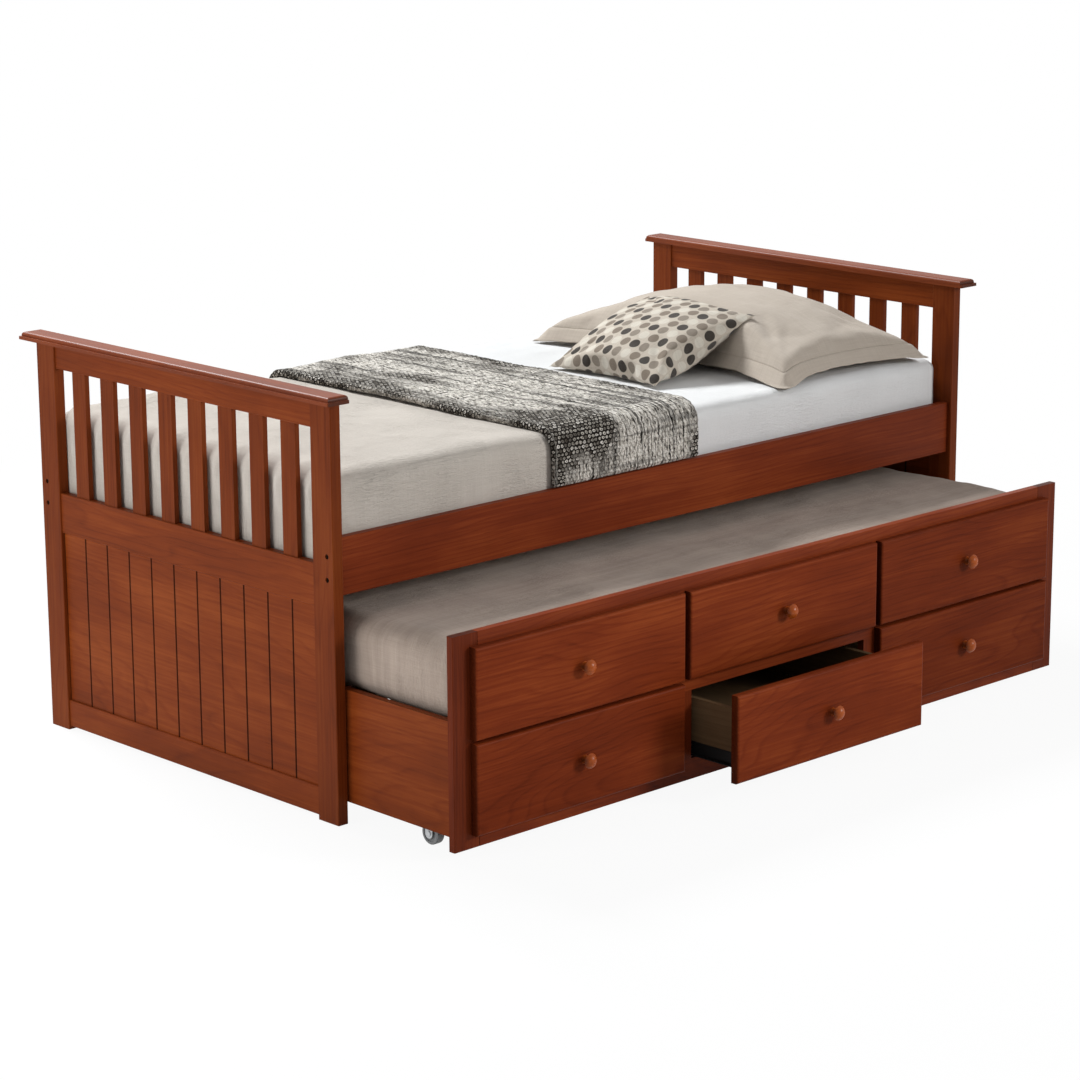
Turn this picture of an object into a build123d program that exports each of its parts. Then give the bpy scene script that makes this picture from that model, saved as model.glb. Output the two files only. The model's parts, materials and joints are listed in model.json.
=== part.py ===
from build123d import *
import math
import os

# Trundle bed with three drawers, in millimetres: +X to the head end, -Y to the trundle side, +Z up.
# Every piece is drawn about the middle of the bed, and moved to the shared frame when it is written out.

# Bed frame
BED_LENGTH = 2020.0
BED_WIDTH = 1030.0
POST_WIDTH = 66.0
POST_THICK = 27.0
POST_HEIGHT = 909.0
EDGE_EASE = 1.5

# Moulded caps of the headboard and the footboard
CAP_THICK = 17.0
CAP_LIP = 7.0
CAP_STEP = 5.0
CAP_ROUND = 7.0
CAP_OUT = 28.0
CAP_IN = 4.0
CAP_END = 27.0

# Rails, slats and grooved panel of the headboard and the footboard
BOARD_SETBACK = 4.0
BOARD_RAIL_THICK = 19.0
TOP_RAIL_HEIGHT = 60.0
MID_RAIL_HEIGHT = 93.0
MID_RAIL_TOP = 561.0
BOTTOM_RAIL_HEIGHT = 63.0
BOTTOM_RAIL_LIFT = 8.0
TENON_LENGTH = 20.0
TENON_THICK = 9.0
TENON_SHOULDER = 9.0
SLAT_COUNT = 8
SLAT_WIDTH = 47.0
SLAT_THICK = 12.0
SLAT_TENON = 12.0
PANEL_THICK = 9.0
PANEL_TONGUE = 7.0
PANEL_BOARDS = 11
GROOVE_DEPTH = 2.5
FIT_GAP = 0.2

# Side rails with bolts and barrel nuts
RAIL_BOTTOM = 495.0
RAIL_HEIGHT = 125.0
RAIL_THICK = 20.0
RAIL_SETBACK = 10.0
BOLT_SPACING = 50.0
BOLT_RADIUS = 3.0
BOLT_LENGTH = 75.0
BOLT_HEAD_RADIUS = 5.0
BOLT_HEAD_LENGTH = 5.0
BOLT_SUNK = 3.0
BOLT_SOCKET = 2.5
NUT_RADIUS = 5.0
NUT_LENGTH = 14.0
NUT_DEPTH = 40.0
BORE_GAP = 0.4

# Slats under the upper mattress
CLEAT_SIZE = 20.0
CLEAT_TOP = 520.0
BED_SLAT_COUNT = 13
BED_SLAT_WIDTH = 70.0
BED_SLAT_THICK = 15.0
BED_SLAT_GAP = 2.0

# Trundle face frame
TRUNDLE_OUT = 341.0
TRUNDLE_DEPTH = 970.0
FRAME_END_GAP = 3.0
FRAME_THICK = 18.0
FRAME_BOTTOM = 15.0
FRAME_HEIGHT = 458.0

# Drawer fronts and false fronts
FRONT_WIDTH = 613.0
FRONT_HEIGHT = 197.0
FRONT_THICK = 19.0
FRONT_ROUND = 6.0
FRONT_GAP = 14.0
FRONT_ROW_GAP = 7.0
FRONT_LAP = 22.5
FRONT_LOW_LAP = 18.5
FRONT_STANDOFF = 0.5
KNOB_RADIUS = 17.0
KNOB_NECK = 7.5
KNOB_FOOT = 10.0
KNOB_LENGTH = 28.0

# Drawer boxes and runners
DRAWER_OUT = {"foot": 0.0, "center": 140.0, "head": 0.0}
BOX_DEPTH = 450.0
BOX_LIFT = 22.0
BOX_HEIGHT = 112.0
BOX_WALL = 12.0
BOX_FLOOR = 5.0
BOX_FLOOR_LIFT = 8.0
BOX_GROOVE = 6.0
RUNNER_ROOM = 12.5
RUNNER_STEEL = 1.5
RUNNER_LIFT = 4.0
RUNNER_HEIGHT = 26.0
RUNNER_REACH = 10.0
RUNNER_LENGTH = 440.0
RUNNER_SLIDE_GAP = 0.3
RUNNER_GRIP = 14.0

# Trundle carcass and deck
CARCASS_BOTTOM = 46.0
CARCASS_TOP = 293.0
END_PANEL_INSET = 2.0
END_PANEL_THICK = 18.0
BACK_PANEL_THICK = 15.0
DIVIDER_THICK = 15.0
BATTEN_HEIGHT = 52.0
BATTEN_LENGTH = 480.0
DECK_BASE = 258.0
DECK_CLEAT = 20.0
DECK_SLAT_COUNT = 7
DECK_SLAT_WIDTH = 90.0
DECK_SLAT_THICK = 12.0

# Casters
WHEEL_RADIUS = 25.0
WHEEL_WIDTH = 20.0
WHEEL_ROUND = 3.0
WHEEL_DISH = 2.0
CASTER_INSET = 110.0
FORK_STEEL = 2.5
FORK_SIDE_GAP = 0.6
FORK_TOP_GAP = 7.0
FORK_PLATE = (40.0, 56.0, 3.0)
FORK_CHEEK = 22.0
AXLE_RADIUS = 4.0
AXLE_GAP = 0.06
AXLE_HEAD_RADIUS = 6.0
AXLE_HEAD_LENGTH = 2.0

# Bedding
MATTRESS_END_GAP = 8.0
MATTRESS_SIDE_GAP = 7.0
MATTRESS_HEIGHT = 198.0
MATTRESS_ROUND = 30.0
LOW_MATTRESS_HEIGHT = 180.0
LOW_MATTRESS_END_GAP = 4.0
LOW_MATTRESS_SIDE_GAP = 6.0
COVER_THICK = 4.0
COVER_GAP = 0.4
COVER_END = -130.0
COVER_HEM = 560.0
THROW_FROM = -361.0
THROW_WIDTH = 461.0
THROW_THICK = 5.0
THROW_HEM_GAP = 0.5
PILLOW_LENGTH = 862.0
PILLOW_DEPTH = 526.0
PILLOW_CROWN = 156.0
PILLOW_SINK = 4.0
PILLOW_FLANGE = 28.0
PILLOW_EDGE = 6.0
PILLOW_DRAWN = 0.05
PILLOW_PLACE = (664.0, -58.0)
CUSHION_LENGTH = 372.0
CUSHION_DEPTH = 366.0
CUSHION_CROWN = 72.0
CUSHION_UNDER = 50.0
CUSHION_EDGE = 8.0
CUSHION_DRAWN = 0.06
CUSHION_TILT = 20.0
CUSHION_PLACE = (365.0, -87.0)
CUSHION_LIFT = 68.45
SEAM_FLAT = 0.5
REST_GAP = 0.4

# Sizes that follow from the ones above
HALF_LENGTH = BED_LENGTH / 2
HALF_WIDTH = BED_WIDTH / 2
INNER_HALF = HALF_LENGTH - POST_THICK
BOARD_HALF = HALF_WIDTH - POST_WIDTH
RAIL_OUTER = HALF_WIDTH - RAIL_SETBACK
RAIL_INNER = RAIL_OUTER - RAIL_THICK
RAIL_TOP = RAIL_BOTTOM + RAIL_HEIGHT
BOLT_Y = RAIL_OUTER - RAIL_THICK / 2
BOLT_HEIGHTS = [RAIL_BOTTOM + RAIL_HEIGHT / 2 + s * BOLT_SPACING / 2 for s in (-1, 1)]
BOARD_MIDDLE = BOARD_SETBACK + BOARD_RAIL_THICK / 2
TOP_RAIL_BOTTOM = POST_HEIGHT - TOP_RAIL_HEIGHT
MID_RAIL_BOTTOM = MID_RAIL_TOP - MID_RAIL_HEIGHT
BOTTOM_RAIL_TOP = BOTTOM_RAIL_LIFT + BOTTOM_RAIL_HEIGHT

FRAME_FACE = -(RAIL_OUTER + TRUNDLE_OUT)
FRAME_BACK = FRAME_FACE + FRAME_THICK
FRAME_HALF = INNER_HALF - FRAME_END_GAP
FRAME_TOP = FRAME_BOTTOM + FRAME_HEIGHT
TRUNDLE_BACK = FRAME_FACE + TRUNDLE_DEPTH
BAY_BACK = TRUNDLE_BACK - BACK_PANEL_THICK
COLUMN_PITCH = FRONT_WIDTH + FRONT_GAP
COLUMNS = {"foot": -COLUMN_PITCH, "center": 0.0, "head": COLUMN_PITCH}
OPENING_HALF = FRONT_WIDTH / 2 - FRONT_LAP
OPENING_END = COLUMN_PITCH + OPENING_HALF
ROW_MARGIN = (FRAME_HEIGHT - 2 * FRONT_HEIGHT - FRONT_ROW_GAP) / 2
LOWER_ROW = FRAME_BOTTOM + ROW_MARGIN
UPPER_ROW = LOWER_ROW + FRONT_HEIGHT + FRONT_ROW_GAP
FRAME_TOP_RAIL = ROW_MARGIN + FRONT_LAP
FRAME_MID_RAIL = FRONT_ROW_GAP + 2 * FRONT_LAP
FRAME_BOTTOM_RAIL = ROW_MARGIN + FRONT_LOW_LAP
MID_RAIL_Z = UPPER_ROW - FRONT_ROW_GAP - FRONT_LAP
OPENING_FLOOR = FRAME_BOTTOM + FRAME_BOTTOM_RAIL
BOX_BOTTOM = OPENING_FLOOR + BOX_LIFT
RUNNER_BOTTOM = OPENING_FLOOR + RUNNER_LIFT
CARCASS_HALF = FRAME_HALF - END_PANEL_INSET
BAY_HALF = CARCASS_HALF - END_PANEL_THICK
BATTEN_BOTTOM = 2 * WHEEL_RADIUS + FORK_TOP_GAP + FORK_PLATE[2]
BOX_HALF = OPENING_HALF - RUNNER_ROOM
CASTER_X = BAY_HALF - FORK_PLATE[0] / 2
CASTER_YS = {"front": FRAME_FACE + CASTER_INSET, "rear": TRUNDLE_BACK - CASTER_INSET}
ENDS = {"foot": -1, "head": 1}
SIDES = {"front": -1, "rear": 1}

MATTRESS_LENGTH = 2 * (INNER_HALF - MATTRESS_END_GAP)
MATTRESS_WIDTH = 2 * (RAIL_INNER - MATTRESS_SIDE_GAP)
LOW_MATTRESS_LENGTH = 2 * (BAY_HALF - LOW_MATTRESS_END_GAP)
MATTRESS_BASE = CLEAT_TOP + BED_SLAT_THICK
MATTRESS_TOP = MATTRESS_BASE + MATTRESS_HEIGHT
DECK_TOP = DECK_BASE + DECK_SLAT_THICK

# The shared frame stands under the middle of the bed as photographed, trundle and one drawer pulled out
FRONT_REACH = FRAME_FACE - max(DRAWER_OUT.values()) - FRONT_STANDOFF - FRONT_THICK - KNOB_LENGTH
REAR_REACH = HALF_WIDTH + CAP_END
FRAME_SHIFT = -(FRONT_REACH + REAR_REACH) / 2


def block(x0, x1, y0, y1, z0, z1):
    """Box between two corners."""
    middle = Pos((x0 + x1) / 2, (y0 + y1) / 2, (z0 + z1) / 2)
    return middle * Box(abs(x1 - x0), abs(y1 - y0), abs(z1 - z0))


def eased(shape, axis):
    """Box with the edges along one axis chamfered."""
    return chamfer(shape.edges().filter_by(axis), EDGE_EASE)


def rod_x(x0, x1, y, z, radius):
    """Cylinder along X."""
    return Pos((x0 + x1) / 2, y, z) * Rot(0, 90, 0) * Cylinder(radius, abs(x1 - x0))


def rod_y(x, y0, y1, z, radius):
    """Cylinder along Y."""
    return Pos(x, (y0 + y1) / 2, z) * Rot(90, 0, 0) * Cylinder(radius, abs(y1 - y0))


def rounded_block(x0, x1, y0, y1, z0, z1, radius):
    """Box with every edge rounded."""
    box = block(x0, x1, y0, y1, z0, z1)
    return fillet(box.edges(), radius)


def spread(count, half, width):
    """Middles of equal pieces with equal gaps between them and at both ends."""
    gap = (2 * half - count * width) / (count + 1)
    return [-half + gap + width / 2 + i * (width + gap) for i in range(count)]


def depth_x(end, depth):
    """X at a depth inward from the outer face of the headboard or the footboard."""
    return end * (HALF_LENGTH - depth)


def board_block(end, d0, d1, y0, y1, z0, z1):
    """Box in the headboard or the footboard, between two depths from its outer face."""
    return block(depth_x(end, d0), depth_x(end, d1), y0, y1, z0, z1)


def board_tenons(end, z0, z1, grow):
    """Tenons of a board rail, or with some growth their mortises."""
    d0 = BOARD_MIDDLE - TENON_THICK / 2 - grow
    d1 = BOARD_MIDDLE + TENON_THICK / 2 + grow
    reach = BOARD_HALF + TENON_LENGTH + grow
    low = z0 + TENON_SHOULDER - grow
    high = z1 - TENON_SHOULDER + grow
    return board_block(end, d0, d1, -reach, reach, low, high)


def panel_body(end, grow):
    """Panel of a board, or with some growth the groove that holds it."""
    d0 = BOARD_MIDDLE - PANEL_THICK / 2 - grow
    d1 = BOARD_MIDDLE + PANEL_THICK / 2 + grow
    reach = BOARD_HALF + PANEL_TONGUE + grow
    low = BOTTOM_RAIL_TOP - PANEL_TONGUE - grow
    high = MID_RAIL_BOTTOM + PANEL_TONGUE + grow
    return board_block(end, d0, d1, -reach, reach, low, high)


def slat_body(end, y, grow):
    """One upright slat of a board, or with some growth the mortises that hold it."""
    d0 = BOARD_MIDDLE - SLAT_THICK / 2 - grow
    d1 = BOARD_MIDDLE + SLAT_THICK / 2 + grow
    half = SLAT_WIDTH / 2 + grow
    low = MID_RAIL_TOP - SLAT_TENON - grow
    high = TOP_RAIL_BOTTOM + SLAT_TENON + grow
    return board_block(end, d0, d1, y - half, y + half, low, high)


def post(end, side):
    """Corner post with its mortises, panel groove and bolt holes."""
    body = block(depth_x(end, 0), depth_x(end, POST_THICK), side * BOARD_HALF, side * HALF_WIDTH, 0, POST_HEIGHT)
    body = eased(body, Axis.Z)
    for z0, z1 in board_rail_heights().values():
        body -= board_tenons(end, z0, z1, FIT_GAP)
    body -= panel_body(end, FIT_GAP)
    sunk = BOLT_SUNK + BOLT_HEAD_LENGTH
    for z in BOLT_HEIGHTS:
        through = rod_x(depth_x(end, -1), depth_x(end, POST_THICK + 1), side * BOLT_Y, z, BOLT_RADIUS + BORE_GAP)
        head = rod_x(depth_x(end, -1), depth_x(end, sunk), side * BOLT_Y, z, BOLT_HEAD_RADIUS + BORE_GAP)
        body -= through
        body -= head
    return body


def board_rail_heights():
    """Bottom and top of each rail between the posts of a board."""
    return {
        "top_rail": (TOP_RAIL_BOTTOM, POST_HEIGHT),
        "mid_rail": (MID_RAIL_BOTTOM, MID_RAIL_TOP),
        "bottom_rail": (BOTTOM_RAIL_LIFT, BOTTOM_RAIL_TOP),
    }


def board_rail(end, z0, z1, mortised, grooved):
    """Rail between two posts, with tenons, and mortises or a groove where they are wanted."""
    d1 = BOARD_SETBACK + BOARD_RAIL_THICK
    body = eased(board_block(end, BOARD_SETBACK, d1, -BOARD_HALF, BOARD_HALF, z0, z1), Axis.Y)
    body += board_tenons(end, z0, z1, 0)
    if mortised:
        for y in spread(SLAT_COUNT, BOARD_HALF, SLAT_WIDTH):
            body -= slat_body(end, y, FIT_GAP)
    if grooved:
        body -= panel_body(end, FIT_GAP)
    return body


def board_panel(end):
    """Panel with V grooves in its outer face, as if of narrow boards."""
    body = panel_body(end, 0)
    face = depth_x(end, BOARD_MIDDLE - PANEL_THICK / 2)
    pitch = 2 * BOARD_HALF / PANEL_BOARDS
    bar = GROOVE_DEPTH * math.sqrt(2)
    middle = (BOTTOM_RAIL_TOP + MID_RAIL_BOTTOM) / 2
    for i in range(1, PANEL_BOARDS):
        y = -BOARD_HALF + i * pitch
        body -= Pos(face, y, middle) * Rot(0, 0, 45) * Box(bar, bar, MID_RAIL_BOTTOM)
    return body


def board_cap(end):
    """Cap with a thin lip below and a rounded shoulder above."""
    d0 = -CAP_OUT
    d1 = POST_THICK + CAP_IN
    half = HALF_WIDTH + CAP_END
    lip_top = POST_HEIGHT + CAP_LIP
    lip = board_block(end, d0, d1, -half, half, POST_HEIGHT, lip_top)
    lip = chamfer(lip.edges().filter_by(Axis.Z), EDGE_EASE)
    top = board_block(
        end, d0 + CAP_STEP, d1, -half + CAP_STEP, half - CAP_STEP, lip_top, POST_HEIGHT + CAP_THICK
    )
    crown = top.faces().sort_by(Axis.Z)[-1]
    top = fillet(crown.edges(), CAP_ROUND)
    return lip + top


def side_rail(side):
    """Side rail with bolt bores in its ends and cross bores for the barrel nuts."""
    body = eased(
        block(-INNER_HALF, INNER_HALF, side * RAIL_INNER, side * RAIL_OUTER, RAIL_BOTTOM, RAIL_TOP), Axis.X
    )
    bore_end = BOLT_SUNK + BOLT_HEAD_LENGTH + BOLT_LENGTH + 4
    nut_floor = BOLT_Y + NUT_LENGTH / 2 + FIT_GAP
    for end in ENDS.values():
        for z in BOLT_HEIGHTS:
            body -= rod_x(
                depth_x(end, POST_THICK - 1), depth_x(end, bore_end), side * BOLT_Y, z, BOLT_RADIUS + BORE_GAP
            )
            nut_x = depth_x(end, POST_THICK + NUT_DEPTH)
            body -= rod_y(nut_x, side * (RAIL_INNER - 1), side * nut_floor, z, NUT_RADIUS + FIT_GAP)
    return body


def rail_bolt(end, side, z):
    """Socket-head bolt from the post into the side rail."""
    under_head = BOLT_SUNK + BOLT_HEAD_LENGTH
    head = rod_x(depth_x(end, BOLT_SUNK), depth_x(end, under_head), side * BOLT_Y, z, BOLT_HEAD_RADIUS)
    shank = rod_x(
        depth_x(end, under_head), depth_x(end, under_head + BOLT_LENGTH), side * BOLT_Y, z, BOLT_RADIUS
    )
    hexagon = Rot(0, 90, 0) * extrude(RegularPolygon(BOLT_SOCKET, 6), BOLT_HEAD_LENGTH * 0.6, both=True)
    socket = Pos(depth_x(end, BOLT_SUNK), side * BOLT_Y, z) * hexagon
    return head + shank - socket


def barrel_nut(end, side, z):
    """Barrel nut across the bolt, in the side rail."""
    x = depth_x(end, POST_THICK + NUT_DEPTH)
    half = NUT_LENGTH / 2
    body = rod_y(x, side * BOLT_Y - half, side * BOLT_Y + half, z, NUT_RADIUS)
    return body - rod_x(x - 2 * NUT_RADIUS, x + 2 * NUT_RADIUS, side * BOLT_Y, z, BOLT_RADIUS + FIT_GAP)


def front_board(x, z, back):
    """Drawer front or false front with a rounded face edge."""
    half = FRONT_WIDTH / 2
    body = block(x - half, x + half, back - FRONT_THICK, back, z, z + FRONT_HEIGHT)
    face = body.faces().sort_by(Axis.Y)[0]
    return fillet(face.edges(), FRONT_ROUND)


def knob(x, z, face):
    """Turned knob standing out from a front, with a round dome."""
    neck_at = KNOB_LENGTH * 0.3
    rim_at = KNOB_LENGTH * 0.62
    rise = KNOB_LENGTH - rim_at
    dome = (KNOB_RADIUS**2 + rise**2) / (2 * rise)
    turn = math.asin(KNOB_RADIUS / dome) / 2
    dome_middle = (dome * math.sin(turn), dome * (1 - math.cos(turn)) - KNOB_LENGTH)
    outline = [
        Line((0, 0), (KNOB_FOOT, 0)),
        Line((KNOB_FOOT, 0), (KNOB_NECK, -neck_at)),
        Line((KNOB_NECK, -neck_at), (KNOB_RADIUS, -rim_at)),
        ThreePointArc((KNOB_RADIUS, -rim_at), dome_middle, (0, -KNOB_LENGTH)),
        Line((0, -KNOB_LENGTH), (0, 0)),
    ]
    turned = revolve(make_face(outline), Axis.Y)
    return Pos(x, face, z) * turned


def drawer_box(x, back):
    """Sides, inner front, back and floor of a drawer, as separate boards."""
    rear = back + BOX_DEPTH
    top = BOX_BOTTOM + BOX_HEIGHT
    inner = BOX_HALF - BOX_WALL
    floor_low = BOX_BOTTOM + BOX_FLOOR_LIFT
    floor_high = floor_low + BOX_FLOOR
    reach = inner + BOX_GROOVE
    front_in = back + BOX_WALL - BOX_GROOVE
    rear_in = rear - BOX_WALL + BOX_GROOVE
    floor = block(x - reach, x + reach, front_in, rear_in, floor_low, floor_high)
    slot = block(
        x - reach - FIT_GAP, x + reach + FIT_GAP, front_in - FIT_GAP, rear_in + FIT_GAP,
        floor_low - FIT_GAP, floor_high + FIT_GAP
    )
    boards = []
    for s in (-1, 1):
        boards.append(block(x + s * inner, x + s * BOX_HALF, back, rear, BOX_BOTTOM, top) - slot)
    boards.append(block(x - inner, x + inner, back, back + BOX_WALL, BOX_BOTTOM, top) - slot)
    boards.append(block(x - inner, x + inner, rear - BOX_WALL, rear, BOX_BOTTOM, top) - slot)
    boards.append(floor)
    return boards


def drawer_runner(x, s, back):
    """Steel angle along the foot of a drawer side, with a flange that rides in the fixed channel."""
    outer = BOX_HALF + RUNNER_STEEL
    foot = RUNNER_BOTTOM + RUNNER_STEEL + RUNNER_SLIDE_GAP
    y0 = back + 1
    y1 = back + BOX_DEPTH - 1
    wall = block(x + s * BOX_HALF, x + s * outer, y0, y1, foot, BOX_BOTTOM + RUNNER_GRIP)
    flange_end = OPENING_HALF - RUNNER_STEEL - 1
    flange = block(x + s * outer, x + s * flange_end, y0, y1, foot, foot + RUNNER_STEEL)
    under = block(
        x + s * (BOX_HALF - BOX_WALL + 2), x + s * BOX_HALF, y0, y1, BOX_BOTTOM - RUNNER_STEEL, BOX_BOTTOM
    )
    return wall + flange + under


def fixed_runner(x, s):
    """Steel channel on a batten, open to the drawer."""
    y0 = FRAME_FACE + 2
    y1 = y0 + RUNNER_LENGTH
    top = RUNNER_BOTTOM + RUNNER_HEIGHT
    tip = OPENING_HALF - RUNNER_REACH
    web = block(x + s * (OPENING_HALF - RUNNER_STEEL), x + s * OPENING_HALF, y0, y1, RUNNER_BOTTOM, top)
    low = block(x + s * tip, x + s * OPENING_HALF, y0, y1, RUNNER_BOTTOM, RUNNER_BOTTOM + RUNNER_STEEL)
    high = block(x + s * tip, x + s * OPENING_HALF, y0, y1, top - RUNNER_STEEL, top)
    return web + low + high


def face_frame_uprights():
    """End stiles and the short mullions between the openings."""
    pieces = []
    for s in (-1, 1):
        stile = block(s * OPENING_END, s * FRAME_HALF, FRAME_FACE, FRAME_BACK, FRAME_BOTTOM, FRAME_TOP)
        pieces.append(eased(stile, Axis.Z))
    spans = [
        (FRAME_BOTTOM + FRAME_BOTTOM_RAIL, MID_RAIL_Z),
        (MID_RAIL_Z + FRAME_MID_RAIL, FRAME_TOP - FRAME_TOP_RAIL),
    ]
    for s in (-1, 1):
        for low, high in spans:
            inner = s * OPENING_HALF
            outer = s * (COLUMN_PITCH - OPENING_HALF)
            pieces.append(block(inner, outer, FRAME_FACE, FRAME_BACK, low, high))
    return pieces


def battens():
    """Runner battens along the drawer openings and cleats under the ends of the deck slats."""
    pieces = []
    top = BATTEN_BOTTOM + BATTEN_HEIGHT
    for s in (-1, 1):
        divider = s * COLUMN_PITCH / 2
        for near in (s * OPENING_HALF, s * (COLUMN_PITCH - OPENING_HALF)):
            face = divider + math.copysign(DIVIDER_THICK / 2, near - divider)
            pieces.append(block(face, near, FRAME_BACK, FRAME_BACK + BATTEN_LENGTH, BATTEN_BOTTOM, top))
        pieces.append(block(s * OPENING_END, s * BAY_HALF, FRAME_BACK, BAY_BACK, BATTEN_BOTTOM, top))
        pieces.append(
            block(s * (BAY_HALF - DECK_CLEAT), s * BAY_HALF, FRAME_BACK, BAY_BACK, DECK_BASE - DECK_CLEAT, DECK_BASE)
        )
    return pieces


def deck_slats():
    """Long slats under the lower mattress, across the dividers."""
    middle = (FRAME_BACK + BAY_BACK) / 2
    half = (BAY_BACK - FRAME_BACK) / 2
    pieces = []
    for y in spread(DECK_SLAT_COUNT, half, DECK_SLAT_WIDTH):
        y0 = middle + y - DECK_SLAT_WIDTH / 2
        pieces.append(block(-BAY_HALF, BAY_HALF, y0, y0 + DECK_SLAT_WIDTH, DECK_BASE, DECK_TOP))
    return pieces


def wheel(x, y):
    """Caster wheel with dished faces and a bore."""
    half = WHEEL_WIDTH / 2
    body = Cylinder(WHEEL_RADIUS, WHEEL_WIDTH)
    body = fillet(body.edges(), WHEEL_ROUND)
    dish = Cylinder(WHEEL_RADIUS * 0.72, WHEEL_DISH) - Cylinder(AXLE_RADIUS * 2.2, WHEEL_DISH)
    for s in (-1, 1):
        body -= Pos(0, 0, s * (half - WHEEL_DISH / 2)) * dish
    body -= Cylinder(AXLE_RADIUS + AXLE_GAP, 2 * WHEEL_WIDTH)
    return Pos(x, y, WHEEL_RADIUS) * Rot(0, 90, 0) * body


def caster_fork(x, y):
    """Bent steel fork over a wheel, with its axle pin."""
    plate_x, plate_y, plate_z = FORK_PLATE
    low = BATTEN_BOTTOM - plate_z
    fork = block(x - plate_x / 2, x + plate_x / 2, y - plate_y / 2, y + plate_y / 2, low, BATTEN_BOTTOM)
    inner = WHEEL_WIDTH / 2 + FORK_SIDE_GAP
    outer = inner + FORK_STEEL
    half = FORK_CHEEK / 2
    for s in (-1, 1):
        fork += block(x + s * inner, x + s * outer, y - half, y + half, WHEEL_RADIUS, low)
        fork += rod_x(x + s * inner, x + s * outer, y, WHEEL_RADIUS, half)
    fork -= rod_x(x - outer - 1, x + outer + 1, y, WHEEL_RADIUS, AXLE_RADIUS + AXLE_GAP)
    reach = outer + AXLE_GAP
    axle = rod_x(x - reach, x + reach, y, WHEEL_RADIUS, AXLE_RADIUS)
    for s in (-1, 1):
        axle += rod_x(x + s * reach, x + s * (reach + AXLE_HEAD_LENGTH), y, WHEEL_RADIUS, AXLE_HEAD_RADIUS)
    return [fork, axle]


def mattress_shell(gap, thick, x0, x1, low):
    """Layer of cloth over the top and sides of the upper mattress, between two places along the bed."""
    shapes = []
    for out in (gap + thick, gap):
        shapes.append(
            rounded_block(
                -MATTRESS_LENGTH / 2 - out, MATTRESS_LENGTH / 2 + out,
                -MATTRESS_WIDTH / 2 - out, MATTRESS_WIDTH / 2 + out,
                MATTRESS_BASE, MATTRESS_TOP + out, MATTRESS_ROUND + out
            )
        )
    room = block(x0, x1, -BED_WIDTH, BED_WIDTH, low, 2 * MATTRESS_TOP)
    return (shapes[0] - shapes[1]) & room


def lens_section(y, half, top, bottom, edge):
    """Section of a stuffed cover across its length: two arcs joined by a thin edge at each end."""
    upper = ThreePointArc((-half, edge / 2), (0, top), (half, edge / 2))
    lower = ThreePointArc((half, -edge / 2), (0, -bottom), (-half, -edge / 2))
    sides = [Line((half, edge / 2), (half, -edge / 2)), Line((-half, -edge / 2), (-half, edge / 2))]
    flat = make_face([upper, sides[0], lower, sides[1]])
    return Plane(origin=(0, y, 0), x_dir=(1, 0, 0), z_dir=(0, -1, 0)) * flat


def stuffed(length, depth, top, bottom, edge, drawn):
    """Stuffed cover with a crown on both faces and drawn-in sides, its length along Y."""
    sections = []
    for t in (-1.0, -0.9, -0.6, 0.0, 0.6, 0.9, 1.0):
        full = math.sqrt(max(0.0, 1 - abs(t) ** 3))
        half = depth / 2 * (1 - drawn * (1 - t * t))
        sections.append(
            lens_section(
                t * length / 2, half, edge / 2 + SEAM_FLAT + (top - edge / 2) * full,
                edge / 2 + SEAM_FLAT + (bottom - edge / 2) * full, edge
            )
        )
    return loft(sections)


def pillow():
    """Large pillow with a flat flange, lying on the sheet."""
    inner_length = PILLOW_LENGTH - 2 * PILLOW_FLANGE
    inner_depth = PILLOW_DEPTH - 2 * PILLOW_FLANGE
    body = stuffed(inner_length, inner_depth, PILLOW_CROWN - PILLOW_SINK, PILLOW_SINK, PILLOW_EDGE, PILLOW_DRAWN)
    flange = Box(PILLOW_DEPTH, PILLOW_LENGTH, PILLOW_EDGE)
    flange = fillet(flange.edges().filter_by(Axis.Z), PILLOW_FLANGE * 0.6)
    base = MATTRESS_TOP + REST_GAP + PILLOW_SINK + SEAM_FLAT
    x, y = PILLOW_PLACE
    return Pos(x, y, base) * (body + flange)


def cushion():
    """Smaller cushion that leans back on the pillow."""
    body = stuffed(CUSHION_LENGTH, CUSHION_DEPTH, CUSHION_CROWN, CUSHION_UNDER, CUSHION_EDGE, CUSHION_DRAWN)
    x, y = CUSHION_PLACE
    return Pos(x, y, MATTRESS_TOP + CUSHION_LIFT) * Rot(0, -CUSHION_TILT, 0) * body


def board_parts(name, end):
    """Pieces of the headboard or the footboard."""
    heights = board_rail_heights()
    return {
        f"{name}_post_front": post(end, SIDES["front"]),
        f"{name}_post_rear": post(end, SIDES["rear"]),
        f"{name}_top_rail": board_rail(end, *heights["top_rail"], True, False),
        f"{name}_mid_rail": board_rail(end, *heights["mid_rail"], True, True),
        f"{name}_bottom_rail": board_rail(end, *heights["bottom_rail"], False, True),
        f"{name}_slats": [slat_body(end, y, 0) for y in spread(SLAT_COUNT, BOARD_HALF, SLAT_WIDTH)],
        f"{name}_panel": board_panel(end),
        f"{name}_cap": board_cap(end),
    }


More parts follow.
